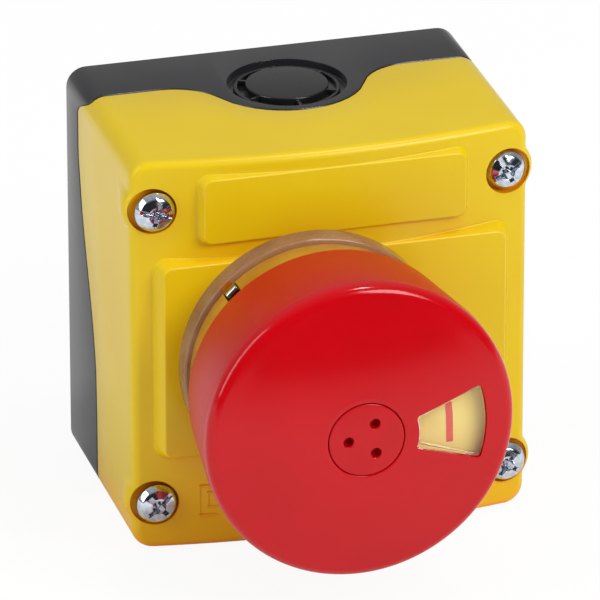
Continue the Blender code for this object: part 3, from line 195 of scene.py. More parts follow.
looks = {
    "coverYellow": (mouldedPlastic, {
        "colour": shown(215, 185, 12), "shade": shown(211, 179, 10), "cloud": 22, "grain": 0.28,
        "rough": (0.28, 0.31), "bump": 0.02, "depth": 0.02, "edge": 0.18, "glow": 0.06, "glowDepth": 1.0,
        # painted shade: the face turns warmer and redder where the head and the floor are near
        "gloss": 0.35, "paintedShadeTint": shown(242, 150, 2), "reach": 30}),
    "baseBlack": (mouldedPlastic, {
        "colour": shown(38, 37, 40), "shade": shown(33, 32, 35), "cloud": 9, "grain": 0.22,
        "rough": (0.21, 0.27), "bump": 0.08, "depth": 0.03, "edge": 0.15, "gloss": 0.65}),
    "headRed": (mouldedPlastic, {
        "colour": shown(184, 1, 14), "shade": shown(178, 1, 12), "cloud": 16, "grain": 0.3,
        "rough": (0.11, 0.15), "bump": 0.04, "depth": 0.02, "edge": 0.15, "glow": 0.05, "glowDepth": 0.6,
        "gloss": 0.36, "coarse": (-33, -31, 0.26)}),
    "plugRed": (mouldedPlastic, {
        "colour": shown(182, 1, 14), "shade": shown(176, 1, 12), "cloud": 5, "grain": 0.25,
        "rough": (0.12, 0.17), "bump": 0.05, "depth": 0.02, "edge": 0.12, "gloss": 0.36}),
    "windowClear": (clearMoulding, {
        "colour": shown(254, 252, 246), "shade": shown(251, 247, 236), "grain": 2.5, "bump": 0.08,
        "rough": (0.01, 0.04)}),
    "knockoutBlack": (mouldedPlastic, {
        "colour": shown(25, 24, 26), "shade": shown(21, 20, 22), "cloud": 5, "grain": 0.2,
        "rough": (0.22, 0.32), "bump": 0.15, "depth": 0.02, "edge": 0.12}),
    "discYellow": (mouldedPlastic, {
        "colour": shown(238, 224, 126), "shade": shown(232, 215, 112), "cloud": 6, "grain": 0.3,
        # painted shade and refraction: the amber outer band stands in for the window's shaded edge seen
        # through the lens
        "rough": (0.4, 0.5), "edge": 0.1, "paintedEdgeAmber": shown(232, 178, 74), "paintedEdgeAmberFrom": (20.7, 21.8)}),
    "markRed": (mouldedPlastic, {
        "colour": shown(222, 70, 62), "shade": shown(214, 60, 54), "cloud": 2, "grain": 0.15,
        "rough": (0.45, 0.55), "bump": 0.2, "depth": 0.01}),
    "ringClear": (clearMoulding, {
        "colour": shown(184, 148, 116), "shade": shown(160, 120, 86), "grain": 1.1, "bump": 0.35,
        "rough": (0.1, 0.25), "clear": 0.55}),
    "sleeveAmber": (clearMoulding, {
        "colour": shown(206, 152, 50), "shade": shown(190, 130, 36), "grain": 2.0, "bump": 0.15,
        "rough": (0.14, 0.24), "clear": 0.25}),
    "slotOrange": (mouldedPlastic, {
        "colour": shown(186, 100, 12), "shade": shown(158, 80, 6), "cloud": 2, "grain": 0.2}),
    "screwZinc": (platedMetal, {
        "colour": shown(222, 229, 238), "shade": shown(176, 188, 204), "cloud": 0.9, "edge": 0.1,
        "rough": (0.06, 0.16)}),
    "pinSteel": (platedMetal, {
        "colour": shown(222, 220, 214), "shade": shown(184, 182, 178), "cloud": 0.6, "edge": 0.08}),
    "springSteel": (platedMetal, {
        "colour": shown(176, 178, 182), "shade": shown(146, 148, 152), "cloud": 0.8, "lay": (1, 6, 1),
        "rough": (0.25, 0.4)}),
    "contactBrass": (platedMetal, {
        "colour": shown(214, 178, 106), "shade": shown(190, 150, 84), "cloud": 1.4, "lay": (5, 1, 1),
        "rough": (0.25, 0.4)}),
    "sealRubber": (mouldedPlastic, {
        "colour": shown(40, 40, 41), "shade": shown(33, 33, 34), "cloud": 4, "grain": 0.2,
        "rough": (0.6, 0.75), "bump": 0.3}),
    "bodyGrey": (mouldedPlastic, {
        "colour": shown(142, 145, 147), "shade": shown(134, 137, 139), "cloud": 6, "grain": 0.25,
        "rough": (0.4, 0.5)}),
    "camWhite": (mouldedPlastic, {
        "colour": shown(221, 221, 218), "shade": shown(212, 212, 208), "cloud": 5, "grain": 0.25,
        "rough": (0.38, 0.48)}),
    "innerBlack": (mouldedPlastic, {
        "colour": shown(52, 51, 53), "shade": shown(46, 45, 47), "cloud": 5, "grain": 0.25,
        "rough": (0.4, 0.5)}),
}
finishes = {name: make(name, look) for name, (make, look) in looks.items()}
print("finishes made")


# Shapes

def lathe(profile, steps=128, closed=True):
    # turns (radius, depth) points in mm about the Y axis
    solid = bmesh.new()
    points = [solid.verts.new((radius, depth, 0)) for radius, depth in profile]
    edges = [solid.edges.new(pair) for pair in zip(points, points[1:])]
    if closed:
        edges.append(solid.edges.new((points[-1], points[0])))
    bmesh.ops.spin(solid, geom=points + edges, cent=(0, 0, 0), axis=(0, 1, 0),
                   angle=2 * math.pi, steps=steps, use_merge=True, use_duplicate=False)
    bmesh.ops.remove_doubles(solid, verts=solid.verts, dist=0.0001)
    return solid


def softProfile(corners, arcSteps=5, closed=True):
    # corners are (radius, depth, rounding)
    points = []
    for index, (radius, depth, rounding) in enumerate(corners):
        if rounding <= 0 or (not closed and index in (0, len(corners) - 1)):
            points.append((radius, depth))
            continue
        here = Vector((radius, depth))
        before = Vector(corners[index - 1][:2]) - here
        after = Vector(corners[(index + 1) % len(corners)][:2]) - here
        half = before.angle(after) / 2
        back = min(rounding / math.tan(half), 0.49 * before.length, 0.49 * after.length)
        real = back * math.tan(half)
        middle = here + (before.normalized() + after.normalized()).normalized() * real / math.sin(half)
        start = here + before.normalized() * back - middle
        end = here + after.normalized() * back - middle
        turn = start.angle_signed(end)
        for step in range(arcSteps + 1):
            angle = -turn * step / arcSteps
            points.append((middle.x + start.x * math.cos(angle) - start.y * math.sin(angle),
                           middle.y + start.x * math.sin(angle) + start.y * math.cos(angle)))
    return points


def brick(size, centre):
    solid = bmesh.new()
    bmesh.ops.create_cube(solid, size=1)
    bmesh.ops.scale(solid, vec=size, verts=solid.verts)
    bmesh.ops.translate(solid, vec=centre, verts=solid.verts)
    return solid


def joinRings(rings, solid):
    for near, far in zip(rings, rings[1:]):
        for index in range(len(near)):
            after = (index + 1) % len(near)
            solid.faces.new((near[index], near[after], far[after], far[index]))


def turnAll(solid, degrees, axis="Y"):
    bmesh.ops.rotate(solid, cent=(0, 0, 0), matrix=Matrix.Rotation(math.radians(degrees), 3, axis),
                     verts=solid.verts)
    return solid


def moveAll(solid, shift):
    bmesh.ops.translate(solid, vec=shift, verts=solid.verts)
    return solid


def meshInto(solid, other):
    # adds a second solid's faces to the first
    carrier = bpy.data.meshes.new("carrier")
    other.to_mesh(carrier)
    other.free()
    solid.from_mesh(carrier)
    bpy.data.meshes.remove(carrier)
    return solid


def makeObject(name, solid):
    bmesh.ops.recalc_face_normals(solid, faces=solid.faces)
    mesh = bpy.data.meshes.new(name)
    solid.to_mesh(mesh)
    solid.free()
    piece = bpy.data.objects.new(name, mesh)
    bpy.context.scene.collection.objects.link(piece)
    return piece


def carved(solid, cutters):
    # cuts solids out of the first one and gives back the result
    body = makeObject("carving", solid)
    tools = [makeObject("tool", cutter) for cutter in cutters]
    for tool in tools:
        change = body.modifiers.new("cut", "BOOLEAN")
        change.operation = "DIFFERENCE"
        change.solver = "EXACT"
        change.object = tool
    ready = body.evaluated_get(bpy.context.evaluated_depsgraph_get())
    result = bmesh.new()
    result.from_mesh(ready.to_mesh())
    for item in [body] + tools:
        bpy.data.meshes.remove(item.data)
    return result


def addPiece(name, solid, place, look, body, slotName, instead=(), sharp=30, joined=()):
    for other in joined:
        bmesh.ops.recalc_face_normals(other, faces=other.faces)
        meshInto(solid, other)
    bmesh.ops.scale(solid, vec=(mm, mm, mm), verts=solid.verts)
    piece = makeObject(name, solid)
    piece.location = place
    mesh = piece.data
    mesh.polygons.foreach_set("use_smooth", [True] * len(mesh.polygons))
    mesh.set_sharp_from_angle(angle=math.radians(sharp))
    mesh.materials.append(finishes[look])
    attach(piece, body)
    if instead:
        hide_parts(*instead)
    if slotName == "clear_plastic":
        piece.visible_shadow = False  # light reaches what lies behind clear plastic
        piece.visible_diffuse = False


# Box: the same sections as the solids, with finer steps

box = {
    "width": 70.8, "height": 72.8, "depth": 47.9, "corner": 3.5, "crown": 178.5,
    "faceEdge": 1.4, "backEdge": 0.6, "wall": 2.5, "floor": 2.5, "face": 2.6,
    "screwX": 31.7, "screwZ": 27.55, "bossRadius": 4.9, "bossFillet": 1.8, "bossFade": 9.5,
    "seamTop": 33.7, "seamSide": 39.4, "seamLow": 28.4, "bendTop": 26.208, "bendLow": -18.2,
    "seamCorner": 5.0, "seamGap": 0.3, "seamEdge": 0.35,
    "entryDepth": 30.9, "bumpRadius": 14.0, "bumpCentre": 32.6, "bumpFillet": 10.0,
    "tongue": 1.0, "tongueHeight": 2.2, "gasketHeight": 1.2,
    "cavityCorner": 2.5, "bossInner": 5.2, "bossLower": 6.0, "bossBlend": 5.0,
    "cornerSteps": 8, "edgeSteps": 7,
}
cavityStart = box["screwX"] - box["bossInner"] - box["cavityCorner"]
blendStart = box["screwZ"] - box["bossLower"] - box["bossBlend"]
# columns of the face from the cavity's corner to the middle, as shares of cavityStart
rowShares = [0.93, 0.86, 0.8, 0.74, 0.69, 0.64, 0.59, 0.54, 0.48, 0.42, 0.35, 0.28, 0.21, 0.14, 0.07, 0.0]


def crown(x):
    return x * x / (2 * box["crown"])


def smooth(share):
    share = min(max(share, 0), 1)
    return share * share * (3 - 2 * share)


def mirrored(half):
    return list(half) + [-value for value in reversed(half[:-1])]


def section(halfWidth, halfHeight, radius, marks, sideOut):
    # outline as (x, z) with equal numbers of points at every depth, so that sections join up
    startX = halfWidth - radius
    startZ = halfHeight - radius
    rows = [cavityStart * share for share in rowShares]
    topRow = mirrored([startX + (rows[0] - startX) * share for share in (0, 0.33, 0.66)] + rows)
    sideRow = mirrored([startZ] + marks + [blendStart * share for share in (0.82, 0.62, 0.41, 0.2, 0)])
    steps = box["cornerSteps"]
    arc = [math.radians(90 * step / steps) for step in range(1, steps)]
    points = [(x, halfHeight) for x in topRow]
    points += [(-startX - radius * math.sin(a), startZ + radius * math.cos(a)) for a in arc]
    points += [(-halfWidth - sideOut(z), z) for z in sideRow]
    points += [(-startX - radius * math.cos(a), -startZ - radius * math.sin(a)) for a in arc]
    points += [(-x, -halfHeight) for x in topRow]
    points += [(startX + radius * math.sin(a), -startZ - radius * math.cos(a)) for a in arc]
    points += [(halfWidth + sideOut(-z), -z) for z in sideRow]
    points += [(startX + radius * math.cos(a), startZ + radius * math.sin(a)) for a in arc]
    return points


def bossSwell(z):
    # how far the round boss of a cover screw stands out of the side wall
    away = abs(abs(z) - box["screwZ"])
    wall = box["width"] / 2 - box["screwX"]
    reach = box["bossRadius"] + box["bossFillet"]
    filletZ = math.sqrt(reach ** 2 - (wall + box["bossFillet"]) ** 2)
    if away >= filletZ:
        return 0
    if away >= filletZ * box["bossRadius"] / reach:
        return box["bossFillet"] - math.sqrt(box["bossFillet"] ** 2 - (filletZ - away) ** 2)
    return math.sqrt(box["bossRadius"] ** 2 - away ** 2) - wall


def outerSection(inset, swelling):
    # swelling is the share of the boss that stands out at this depth
    shares = [0.99, 0.9, 0.8, 0.7, 0.58, 0.45, 0.3, 0.15, 0,
              -0.15, -0.3, -0.45, -0.58, -0.7, -0.8, -0.9, -0.99, -1.2]
    marks = [box["screwZ"] + 4.2 * share for share in shares]
    radius = max(box["corner"] - inset, 0.5)
    return section(box["width"] / 2 - inset, box["height"] / 2 - inset, radius, marks,
                   lambda z: swelling * bossSwell(z))


def cavitySection(grow):
    innerWidth = box["screwX"] - box["bossInner"] + grow
    stepIn = box["width"] / 2 - box["wall"] + grow - innerWidth
    notchEnd = box["screwZ"] - box["bossLower"] + grow
    notchStart = notchEnd - box["bossBlend"]

    def swell(z):
        return stepIn * (1 - smooth((abs(z) - notchStart) / box["bossBlend"]))
    top = box["height"] / 2 - box["wall"] + grow
    radius = box["cavityCorner"] + grow
    marks = [notchEnd + (top - radius - notchEnd) * share
             for share in (0.9, 0.78, 0.64, 0.5, 0.36, 0.22, 0.1)]
    marks += [notchEnd - box["bossBlend"] * share
              for share in (0, 0.1, 0.2, 0.3, 0.4, 0.5, 0.6, 0.7, 0.8, 0.9, 1.0)]
    return section(innerWidth, top, radius, marks, swell)


def seamDepth(x, z):
    # depth of the parting line: it falls along the sides and rises round the cable entries
    share = smooth((box["bendTop"] - z) / (box["bendTop"] - box["bendLow"]))
    line = box["seamSide"] + (box["seamLow"] - box["seamSide"]) * share
    if z > 0:
        fromCorner = (box["height"] / 2 - z) - (box["width"] / 2 - abs(x))
        line += (box["seamTop"] - box["seamSide"]) * (1 - smooth(fromCorner / box["seamCorner"]))
    if abs(z) < box["height"] / 2 - box["wall"] - box["corner"]:
        return line
    filletDepth = line - box["bumpFillet"]
    reach = box["bumpRadius"] + box["bumpFillet"]
    filletX = math.sqrt(reach ** 2 - (box["bumpCentre"] - filletDepth) ** 2)
    if abs(x) >= filletX:
        return line
    if abs(x) >= filletX * box["bumpRadius"] / reach:
        return filletDepth + math.sqrt(box["bumpFillet"] ** 2 - (filletX - abs(x)) ** 2)
    return box["bumpCentre"] - math.sqrt(box["bumpRadius"] ** 2 - x * x)


def ring(solid, points, depth):
    # depth is a number or a function of the place
    if callable(depth):
        return [solid.verts.new((x, depth(x, z), z)) for x, z in points]
    return [solid.verts.new((x, depth, z)) for x, z in points]


def fromSeam(shift):
    return lambda x, z: seamDepth(x, z) + shift


def fromFace(shift):
    return lambda x, z: crown(x) + shift


def edgeArc(radius, steps):
    # quarter round as (inset, rise) pairs
    angles = [math.pi / 2 * step / steps for step in range(steps + 1)]
    return [(radius * (1 - math.sin(a)), radius * (1 - math.cos(a))) for a in angles]


def seamRounding():
    edge = box["seamEdge"]
    return [(edge, 0), (0.5 * edge, 0.13 * edge), (0.13 * edge, 0.5 * edge), (0, edge)]


def fillStrips(solid, loop):
    # upright strips between the top row and the bottom row, each of them flat
    row = len(rowShares) * 2 + 5
    half = len(loop) // 2
    for index in range(row - 1):
        opposite = half + row - 1 - index
        solid.faces.new((loop[index], loop[index + 1], loop[opposite - 1], loop[opposite]))
    for side in (loop[row - 1:half + 1], loop[half + row - 1:] + loop[:1]):
        last = len(side) - 1
        near = 0
        while 2 * near < last:
            far = near + 1
            while 2 * far < last and abs(side[far + 1].co.x - side[far].co.x) < 0.001:
                far += 1
            if 2 * far >= last:
                solid.faces.new(side[near:last + 1 - near])
                break
            solid.faces.new(side[near:far + 1] + side[last - far:last + 1 - near])
            near = far


pads = {
    "proud": 0.3, "draft": 0.38, "corner": 1.6, "topEdge": 0.26, "footEdge": 0.26,
    "lower": (30.5, -18.0, 17.7), "upper": (23.3, 21.5, 33.25),  # half width, bottom, top
    "lift": 0.012,  # of the softened foot, so that the faces don't flicker
    "steps": (40, 12),  # along a side and round a corner
}


def raisedPad(halfWidth, low, high):
    # a flat pad in front of the crowned face, with drafted sides and softened edges
    solid = bmesh.new()
    corner = pads["corner"]
    sideSteps, turnSteps = pads["steps"]
    places = []
    for way in (1, -1):
        edge = high if way > 0 else low
        middle = edge - way * corner
        other = (low if way > 0 else high) + way * corner
        startX = halfWidth - corner
        for step in range(sideSteps):
            places.append((way * startX * (1 - 2 * step / sideSteps), edge, 0, way))
        for step in range(turnSteps):
            angle = math.radians((90 if way > 0 else 270) + 90 * step / turnSteps)
            places.append((-way * startX + corner * math.cos(angle), middle + corner * math.sin(angle),
                           math.cos(angle), math.sin(angle)))
        for step in range(turnSteps):
            angle = math.radians((180 if way > 0 else 0) + 90 * step / turnSteps)
            places.append((-way * startX + corner * math.cos(angle), other + corner * math.sin(angle),
                           math.cos(angle), math.sin(angle)))
    rings = []
    top = -pads["proud"]
    columns = []
    for x, z, wayX, wayZ in places:
        foot = 0.1
        for _ in range(6):  # the foot lies where the drafted side meets the crowned face
            foot = pads["draft"] * (crown(x + wayX * foot) - top)
        drop = foot / pads["draft"]
        slope = math.hypot(foot, drop)
        upper = min(pads["topEdge"], 0.45 * slope)
        lower = min(pads["footEdge"], 0.45 * slope)
        path = []
        bends = (((-upper, top), (0, top), (upper * foot / slope, top + upper * drop / slope)),
                 ((foot - lower * foot / slope, top + drop - lower * drop / slope), (foot, top + drop),
                  (foot + lower, None)))
        for start, bend, end in bends:
            if end[1] is None:
                end = (end[0], crown(x + wayX * end[0]) - pads["lift"])
            for step in range(5):
                t = step / 4
                path.append(tuple((1 - t) ** 2 * start[k] + 2 * t * (1 - t) * bend[k] + t * t * end[k]
                                  for k in range(2)))
        out = foot + lower + 0.12
        path.append((out, crown(x + wayX * out) + 0.08))
        path.append((foot - 0.6, crown(x + wayX * (foot - 0.6)) + 1.0))
        columns.append([(x + wayX * d, y, z + wayZ * d) for d, y in path])
    for index in range(len(columns[0])):
        rings.append([solid.verts.new(column[index]) for column in columns])
    joinRings(rings, solid)
    solid.faces.new(rings[0])
    bmesh.ops.triangulate(solid, faces=[solid.faces.new(rings[-1][::-1])])
    return solid


def coverShell():
    solid = bmesh.new()
    outside = [ring(solid, outerSection(box["faceEdge"] + 1.2, 0), fromFace(0)),
               ring(solid, outerSection(box["faceEdge"] + 0.05, 1), fromFace(0))]
    outside += [ring(solid, outerSection(inset, 1), fromFace(rise))
                for inset, rise in edgeArc(box["faceEdge"], box["edgeSteps"])]
    for share in (0.15, 0.3, 0.45, 0.6, 0.75, 0.9, 1.0):
        depth = box["faceEdge"] + (box["bossFade"] - box["faceEdge"]) * share
        outside.append(ring(solid, outerSection(0, 1 - smooth(share)), fromFace(depth)))
    outside.append(ring(solid, outerSection(0, 0), lambda x, z: 0.4 * crown(x) + 0.6 * seamDepth(x, z)))
    outside += [ring(solid, outerSection(inset, 0), fromSeam(-rise)) for rise, inset in seamRounding()]
    groove = box["tongue"] + 0.3
    shoulder = box["tongueHeight"] + box["gasketHeight"] + 0.6
    inside = [ring(solid, cavitySection(groove), fromSeam(0)),
              ring(solid, cavitySection(groove), fromSeam(-shoulder)),
              ring(solid, cavitySection(0), fromSeam(-shoulder)),
              ring(solid, cavitySection(0), fromFace(box["face"]))]
    joinRings(outside + inside, solid)
    fillStrips(solid, outside[0])
    fillStrips(solid, inside[-1])
    return solid


def screwPlaces():
    return [(x * box["screwX"], z * box["screwZ"]) for z in (1, -1) for x in (-1, 1)]


coverHoles = {"recess": 4.15, "recessDepth": 1.7, "shank": 2.05, "button": 11.15,
              "nutSeat": 15.7, "nutSeatDepth": 2.4}  # the nut's flat seat on the back of the face
screwFace = crown(box["screwX"])


def screwRecess(x, z):
    seat = screwFace + coverHoles["recessDepth"]
    wide = coverHoles["recess"]
    shank = coverHoles["shank"]
    profile = [(0, -3), (wide, -3), (wide, seat), (shank, seat), (shank, 60), (0, 60)]
    return moveAll(lathe(profile, 64, closed=False), (x, 0, z))


buttonX, buttonZ = -5.1, -0.8  # button axis, from the middle of the face
holeWide = coverHoles["button"]
holeProfile = [(0, -4), (holeWide, -4), (holeWide, 4), (0, 4)]
buttonHole = [moveAll(lathe(holeProfile, 96, False), (buttonX, 0, buttonZ)) for _ in range(2)]
seatWide, seatDepth = coverHoles["nutSeat"], coverHoles["nutSeatDepth"]
nutSeat = moveAll(lathe([(0, seatDepth), (seatWide, seatDepth), (seatWide, 8), (0, 8)], 72, False),
                  (buttonX, 0, buttonZ))
cover = carved(coverShell(), [nutSeat, buttonHole[0]] + [screwRecess(x, z) for x, z in screwPlaces()])
lowerPad = carved(raisedPad(*pads["lower"]), [buttonHole[1]])
addPiece("front_cover_shell", cover, boxPlace, "coverYellow", "station", "yellow_plastic",
         ["front_cover"], 35, [lowerPad, raisedPad(*pads["upper"])])
print("cover made")


def doubleSquare():
    # raised double square, the common sign for double insulation
    mark = {"left": -24.1, "top": -24.6, "size": 5.9, "inner": 1.45, "line": 0.32, "proud": 0.06,
            "deep": 0.6}
    solid = bmesh.new()
    for inset in (0, mark["inner"]):
        left, top = mark["left"] + inset, mark["top"] - inset * 0.9
        size = mark["size"] - 2 * inset
        line, deep = mark["line"], mark["deep"]
        for centreZ in (top - line / 2, top - size + line / 2):
            centreX = left + size / 2
            depth = crown(centreX) + 0.3 - mark["proud"]
            meshInto(solid, brick((size, deep, line), (centreX, depth, centreZ)))
        for centreX in (left + line / 2, left + size - line / 2):
            depth = crown(centreX) + 0.3 - mark["proud"]
            meshInto(solid, brick((line, deep, size), (centreX, depth, top - size / 2)))
    return solid


addPiece("insulation_sign", doubleSquare(), boxPlace, "coverYellow", "station", "yellow_plastic")


def baseShell():
    solid = bmesh.new()
    outside = [ring(solid, outerSection(inset, 0), box["depth"] - rise)
               for inset, rise in edgeArc(box["backEdge"], box["edgeSteps"])]
    gap = box["seamGap"]
    outside += [ring(solid, outerSection(inset, 0), fromSeam(gap + rise)) for rise, inset in seamRounding()]
    inside = [ring(solid, cavitySection(box["tongue"]), fromSeam(gap)),
              ring(solid, cavitySection(box["tongue"]), fromSeam(-box["tongueHeight"])),
              ring(solid, cavitySection(0), fromSeam(-box["tongueHeight"])),
              ring(solid, cavitySection(0), box["depth"] - box["floor"])]
    joinRings(outside + inside, solid)
    solid.faces.new(outside[0])
    solid.faces.new(inside[-1][::-1])
    return solid


knockout = {"groove": 10.5, "disc": 7.25, "ringInner": 8.6, "ringOuter": 9.3, "ringDrop": 0.7,
            "depth": 1.5, "webs": 6, "webWidth": 0.6, "webDrop": 0.5}


def entryPlace(solid, way):
    # from about the Y axis to the top or the bottom of the box
    turnAll(solid, 90 * way, "X")
    return moveAll(solid, (0, box["entryDepth"], way * box["height"] / 2))


def knockoutParts(way):
    deep = -knockout["depth"] - 0.3
    disc = softProfile([(0, 0, 0), (knockout["disc"], 0, 0.3), (knockout["disc"], deep, 0), (0, deep, 0)],
                       4, False)
    rim = softProfile([(knockout["ringInner"], -knockout["ringDrop"], 0.15),
                       (knockout["ringOuter"], -knockout["ringDrop"], 0.15),
                       (knockout["ringOuter"], deep, 0), (knockout["ringInner"], deep, 0)], 3)
    solid = lathe(disc, 96, False)
    meshInto(solid, lathe(rim, 96))
    length = knockout["ringInner"] - knockout["disc"] + 0.4
    height = knockout["depth"] - knockout["webDrop"] + 0.2
    for number in range(knockout["webs"]):
        web = brick((length, height, knockout["webWidth"]),
                    ((knockout["ringInner"] + knockout["disc"]) / 2, -knockout["webDrop"] - height / 2, 0))
        meshInto(solid, turnAll(web, 360 * (number + 0.5) / knockout["webs"]))
    return entryPlace(solid, way)


def entryRecess(way):
    wide, deep = knockout["groove"], -knockout["depth"]
    profile = softProfile([(0, 2, 0), (wide, 2, 0), (wide, deep, 0.2), (0, deep, 0)], 3, False)
    return entryPlace(lathe(profile, 96, False), way)


wallHoles = {"x": 15.4, "z": 27.1, "radius": 2.25, "sink": 4.25, "sinkDepth": 1.2, "travel": 2.6}


def wallHole(x, z):
    # stepped hole through the floor, longer at the bottom for levelling
    travel = wallHoles["travel"] if z < 0 else 0.001
    floor = box["depth"] - box["floor"]
    solid = bmesh.new()
    loops = []
    for radius, depth in ((wallHoles["sink"], floor - 1), (wallHoles["sink"], floor + wallHoles["sinkDepth"]),
                          (wallHoles["radius"], floor + wallHoles["sinkDepth"]), (wallHoles["radius"], 50)):
        loop = []
        for step in range(48):
            angle = 2 * math.pi * (step + 0.5) / 48
            rise = travel / 2 if step < 24 else -travel / 2
            loop.append(solid.verts.new((x + radius * math.cos(angle), depth,
                                         z + rise + radius * math.sin(angle))))
        loops.append(loop)
    joinRings(loops, solid)
    solid.faces.new(loops[0])
    solid.faces.new(loops[-1][::-1])
    return solid


rib = {"size": (20.6, 5.25, 1.6), "depth": 44.025, "away": 18.1}  # holds the contact blocks


def floorRib(way):
    return brick(rib["size"], (buttonX, rib["depth"], buttonZ + way * rib["away"]))


screwSeat = screwFace + coverHoles["recessDepth"] - 0.3  # rear of the screw heads
screwTip = screwSeat + 38
pilotWide = coverHoles["shank"]
pilots = [moveAll(lathe([(0, 0), (pilotWide, 0), (pilotWide, screwTip + 1), (0, screwTip + 1)], 32, False),
                  (x, 0, z)) for x, z in screwPlaces()]
base = carved(baseShell(), pilots + [entryRecess(1), entryRecess(-1)] +
              [wallHole(x * wallHoles["x"], z * wallHoles["z"]) for z in (1, -1) for x in (-1, 1)])
addPiece("rear_base_shell", base, boxPlace, "baseBlack", "station", "dark_plastic", ["rear_base"], 35,
         [floorRib(1), floorRib(-1)])
for way, name in ((1, "top"), (-1, "bottom")):
    addPiece("entry_disc_" + name, knockoutParts(way), boxPlace, "knockoutBlack", "station", "dark_plastic")
print("base made")


# Cover screws

screw = {"head": 3.6, "height": 2.6, "shank": 1.75, "tip": 0.95, "cross": 4.6, "crossWide": 0.85,
         "crossDeep": 1.4,
         "slot": 6.4, "slotWide": 0.8, "slotDeep": 0.8, "turns": (12, 64, -42, 33),
         "settled": ((0.4, -1.0, 0), (-0.35, 0.0, 0.15), (0.3, -1.0, 0), (-0.2, -1.0, 0))}  # play in its hole
for number, ((x, z), turn) in enumerate(zip(screwPlaces(), screw["turns"]), start=1):
    front = screwSeat - screw["height"]
    outline = [(0, front, 0), (1.6, front + 0.08, 0.6), (2.9, front + 0.62, 0.8),
               (screw["head"], front + 1.7, 0.5), (screw["head"], screwSeat, 0.2),
               (screw["shank"], screwSeat, 0), (screw["shank"], screwTip - 1.5, 0),
               (screw["tip"], screwTip, 0), (0, screwTip, 0)]
    blank = lathe(softProfile(outline, 5, False), 72, False)
    tools = []
    for angle in (0, 90):
        arm = brick((screw["cross"], 2 * screw["crossDeep"], screw["crossWide"]), (0, front, 0))
        tools.append(turnAll(arm, angle))
    point = lathe([(0, front - 1), (1.25, front - 1), (1.25, front + 0.5), (0.2, front + 2.1),
                   (0, front + 2.1)], 24, False)
    slot = brick((screw["slot"], 2 * screw["slotDeep"], screw["slotWide"]), (0, front, 0))
    solid = carved(blank, tools + [point, slot])
    turnAll(solid, turn)
    place = boxPlace + (Vector((x, 0, z)) + Vector(screw["settled"][number - 1])) * mm
    addPiece("cover_screw_head_%d" % number, solid, place, "screwZinc", "station",
             "zinc_plate", ["cover_screw_%d" % number], 40)
print("screws made")


# Pushbutton, all about its own axis

head = {"radius": 27.0, "rearRadius": 24.75, "rear": -13.1, "rim": -31.5, "top": -37.2, "wall": 1.7,
        "front": 2.2, "rimRounding": 2.1, "dome": 108.0}
plug = {"radius": 6.4, "gap": 0.3, "lap": 0.2, "thick": 2.4, "hole": 0.9, "holeDeep": 1.6,
        "circle": 3.15, "start": 62.0}  # circle of the three holes and the angle of the first
window = {"middle": 0.0, "half": 18.5, "inner": 9.3, "outer": 21.7, "corner": 0.7, "gap": 0.15,
          "thick": 2.0, "sunk": 0.12}


def domeDepth(radius):
    return head["top"] + radius * radius / (2 * head["dome"])


def capProfile():
    rimX = head["radius"] - head["rimRounding"]
    rimDepth = domeDepth(rimX)
    start = plug["radius"] + plug["gap"]
    points = [(start, domeDepth(start) + 0.25), (start + 0.08, domeDepth(start) + 0.08),
              (start + 0.25, domeDepth(start) + 0.01)]
    points += [(start + (rimX - start) * share, domeDepth(start + (rimX - start) * share))
               for share in (0.05, 0.15, 0.25, 0.35, 0.45, 0.55, 0.65, 0.75, 0.85, 0.95)]
    slope = math.degrees(math.atan(rimX / head["dome"]))
    for step in range(11):
        angle = math.radians(slope + (90 - slope) * step / 10)
        centreX = head["radius"] - head["rimRounding"]
        centreY = rimDepth + head["rimRounding"] * math.cos(math.radians(slope))
        points.append((centreX + head["rimRounding"] * math.sin(angle),
                       centreY - head["rimRounding"] * math.cos(angle)))
    side = softProfile([(head["radius"], head["rim"] + 0.2, 0), (head["radius"] - 0.02, head["rim"] + 1, 0),
                        (head["rearRadius"], head["rear"], 0.45),
                        (head["rearRadius"] - head["wall"], head["rear"], 0.3)], 5, False)
    points += side
    innerFront = rimDepth + head["front"]
    innerR = head["radius"] - head["wall"] - 0.6
    points += [(innerR, innerFront + 1), (innerR - 1, innerFront), (start, innerFront)]
    return points


def sectorOutline(shrink):
    # sector of a ring with rounded corners, as (x, z)
    def at(distance, angle):
        angle = math.radians(angle + window["middle"])
        return Vector((distance * math.cos(angle), distance * math.sin(angle)))

    def bent(start, bend, end):
        shares = [step / 6 for step in range(7)]
        return [(1 - t) ** 2 * start + 2 * t * (1 - t) * bend + t * t * end for t in shares]

    points = []
    for radius, way, inwards in ((window["outer"] - shrink, 1, -1), (window["inner"] + shrink, -1, 1)):
        reach = window["half"] - math.degrees(shrink / radius)
        trim = math.degrees(window["corner"] / radius)
        off = radius + inwards * window["corner"]
        points += bent(at(off, way * -reach), at(radius, way * -reach), at(radius, way * (trim - reach)))
        points += [at(radius, way * (trim - reach + 2 * (reach - trim) * step / 16)) for step in range(1, 16)]
        points += bent(at(radius, way * (reach - trim)), at(radius, way * reach), at(off, way * reach))
    return [(point.x, point.y) for point in points]


def windowPlug(shrink, front, rear, domed=False):
    solid = bmesh.new()
    loops = []
    edge = [(0.3, 0), (0.12, 0.06), (0, 0.25)] if domed else [(0, 0)]  # softened front edge
    for inset, drop in edge:
        outline = sectorOutline(shrink + inset)
        lifts = [domeDepth(math.hypot(x, z)) - head["top"] if domed else 0 for x, z in outline]
        loops.append([solid.verts.new((x, front + drop + lift, z)) for (x, z), lift in zip(outline, lifts)])
    loops.append([solid.verts.new((x, rear, z)) for x, z in sectorOutline(shrink)])
    joinRings(loops, solid)
    solid.faces.new(loops[0])
    solid.faces.new(loops[-1][::-1])
    return solid


cap = carved(lathe(capProfile(), 192), [windowPlug(0, -39, head["rim"])])
addPiece("button_head", cap, buttonPlace, "headRed", "head", "red_plastic", ["button_cap"], 32)

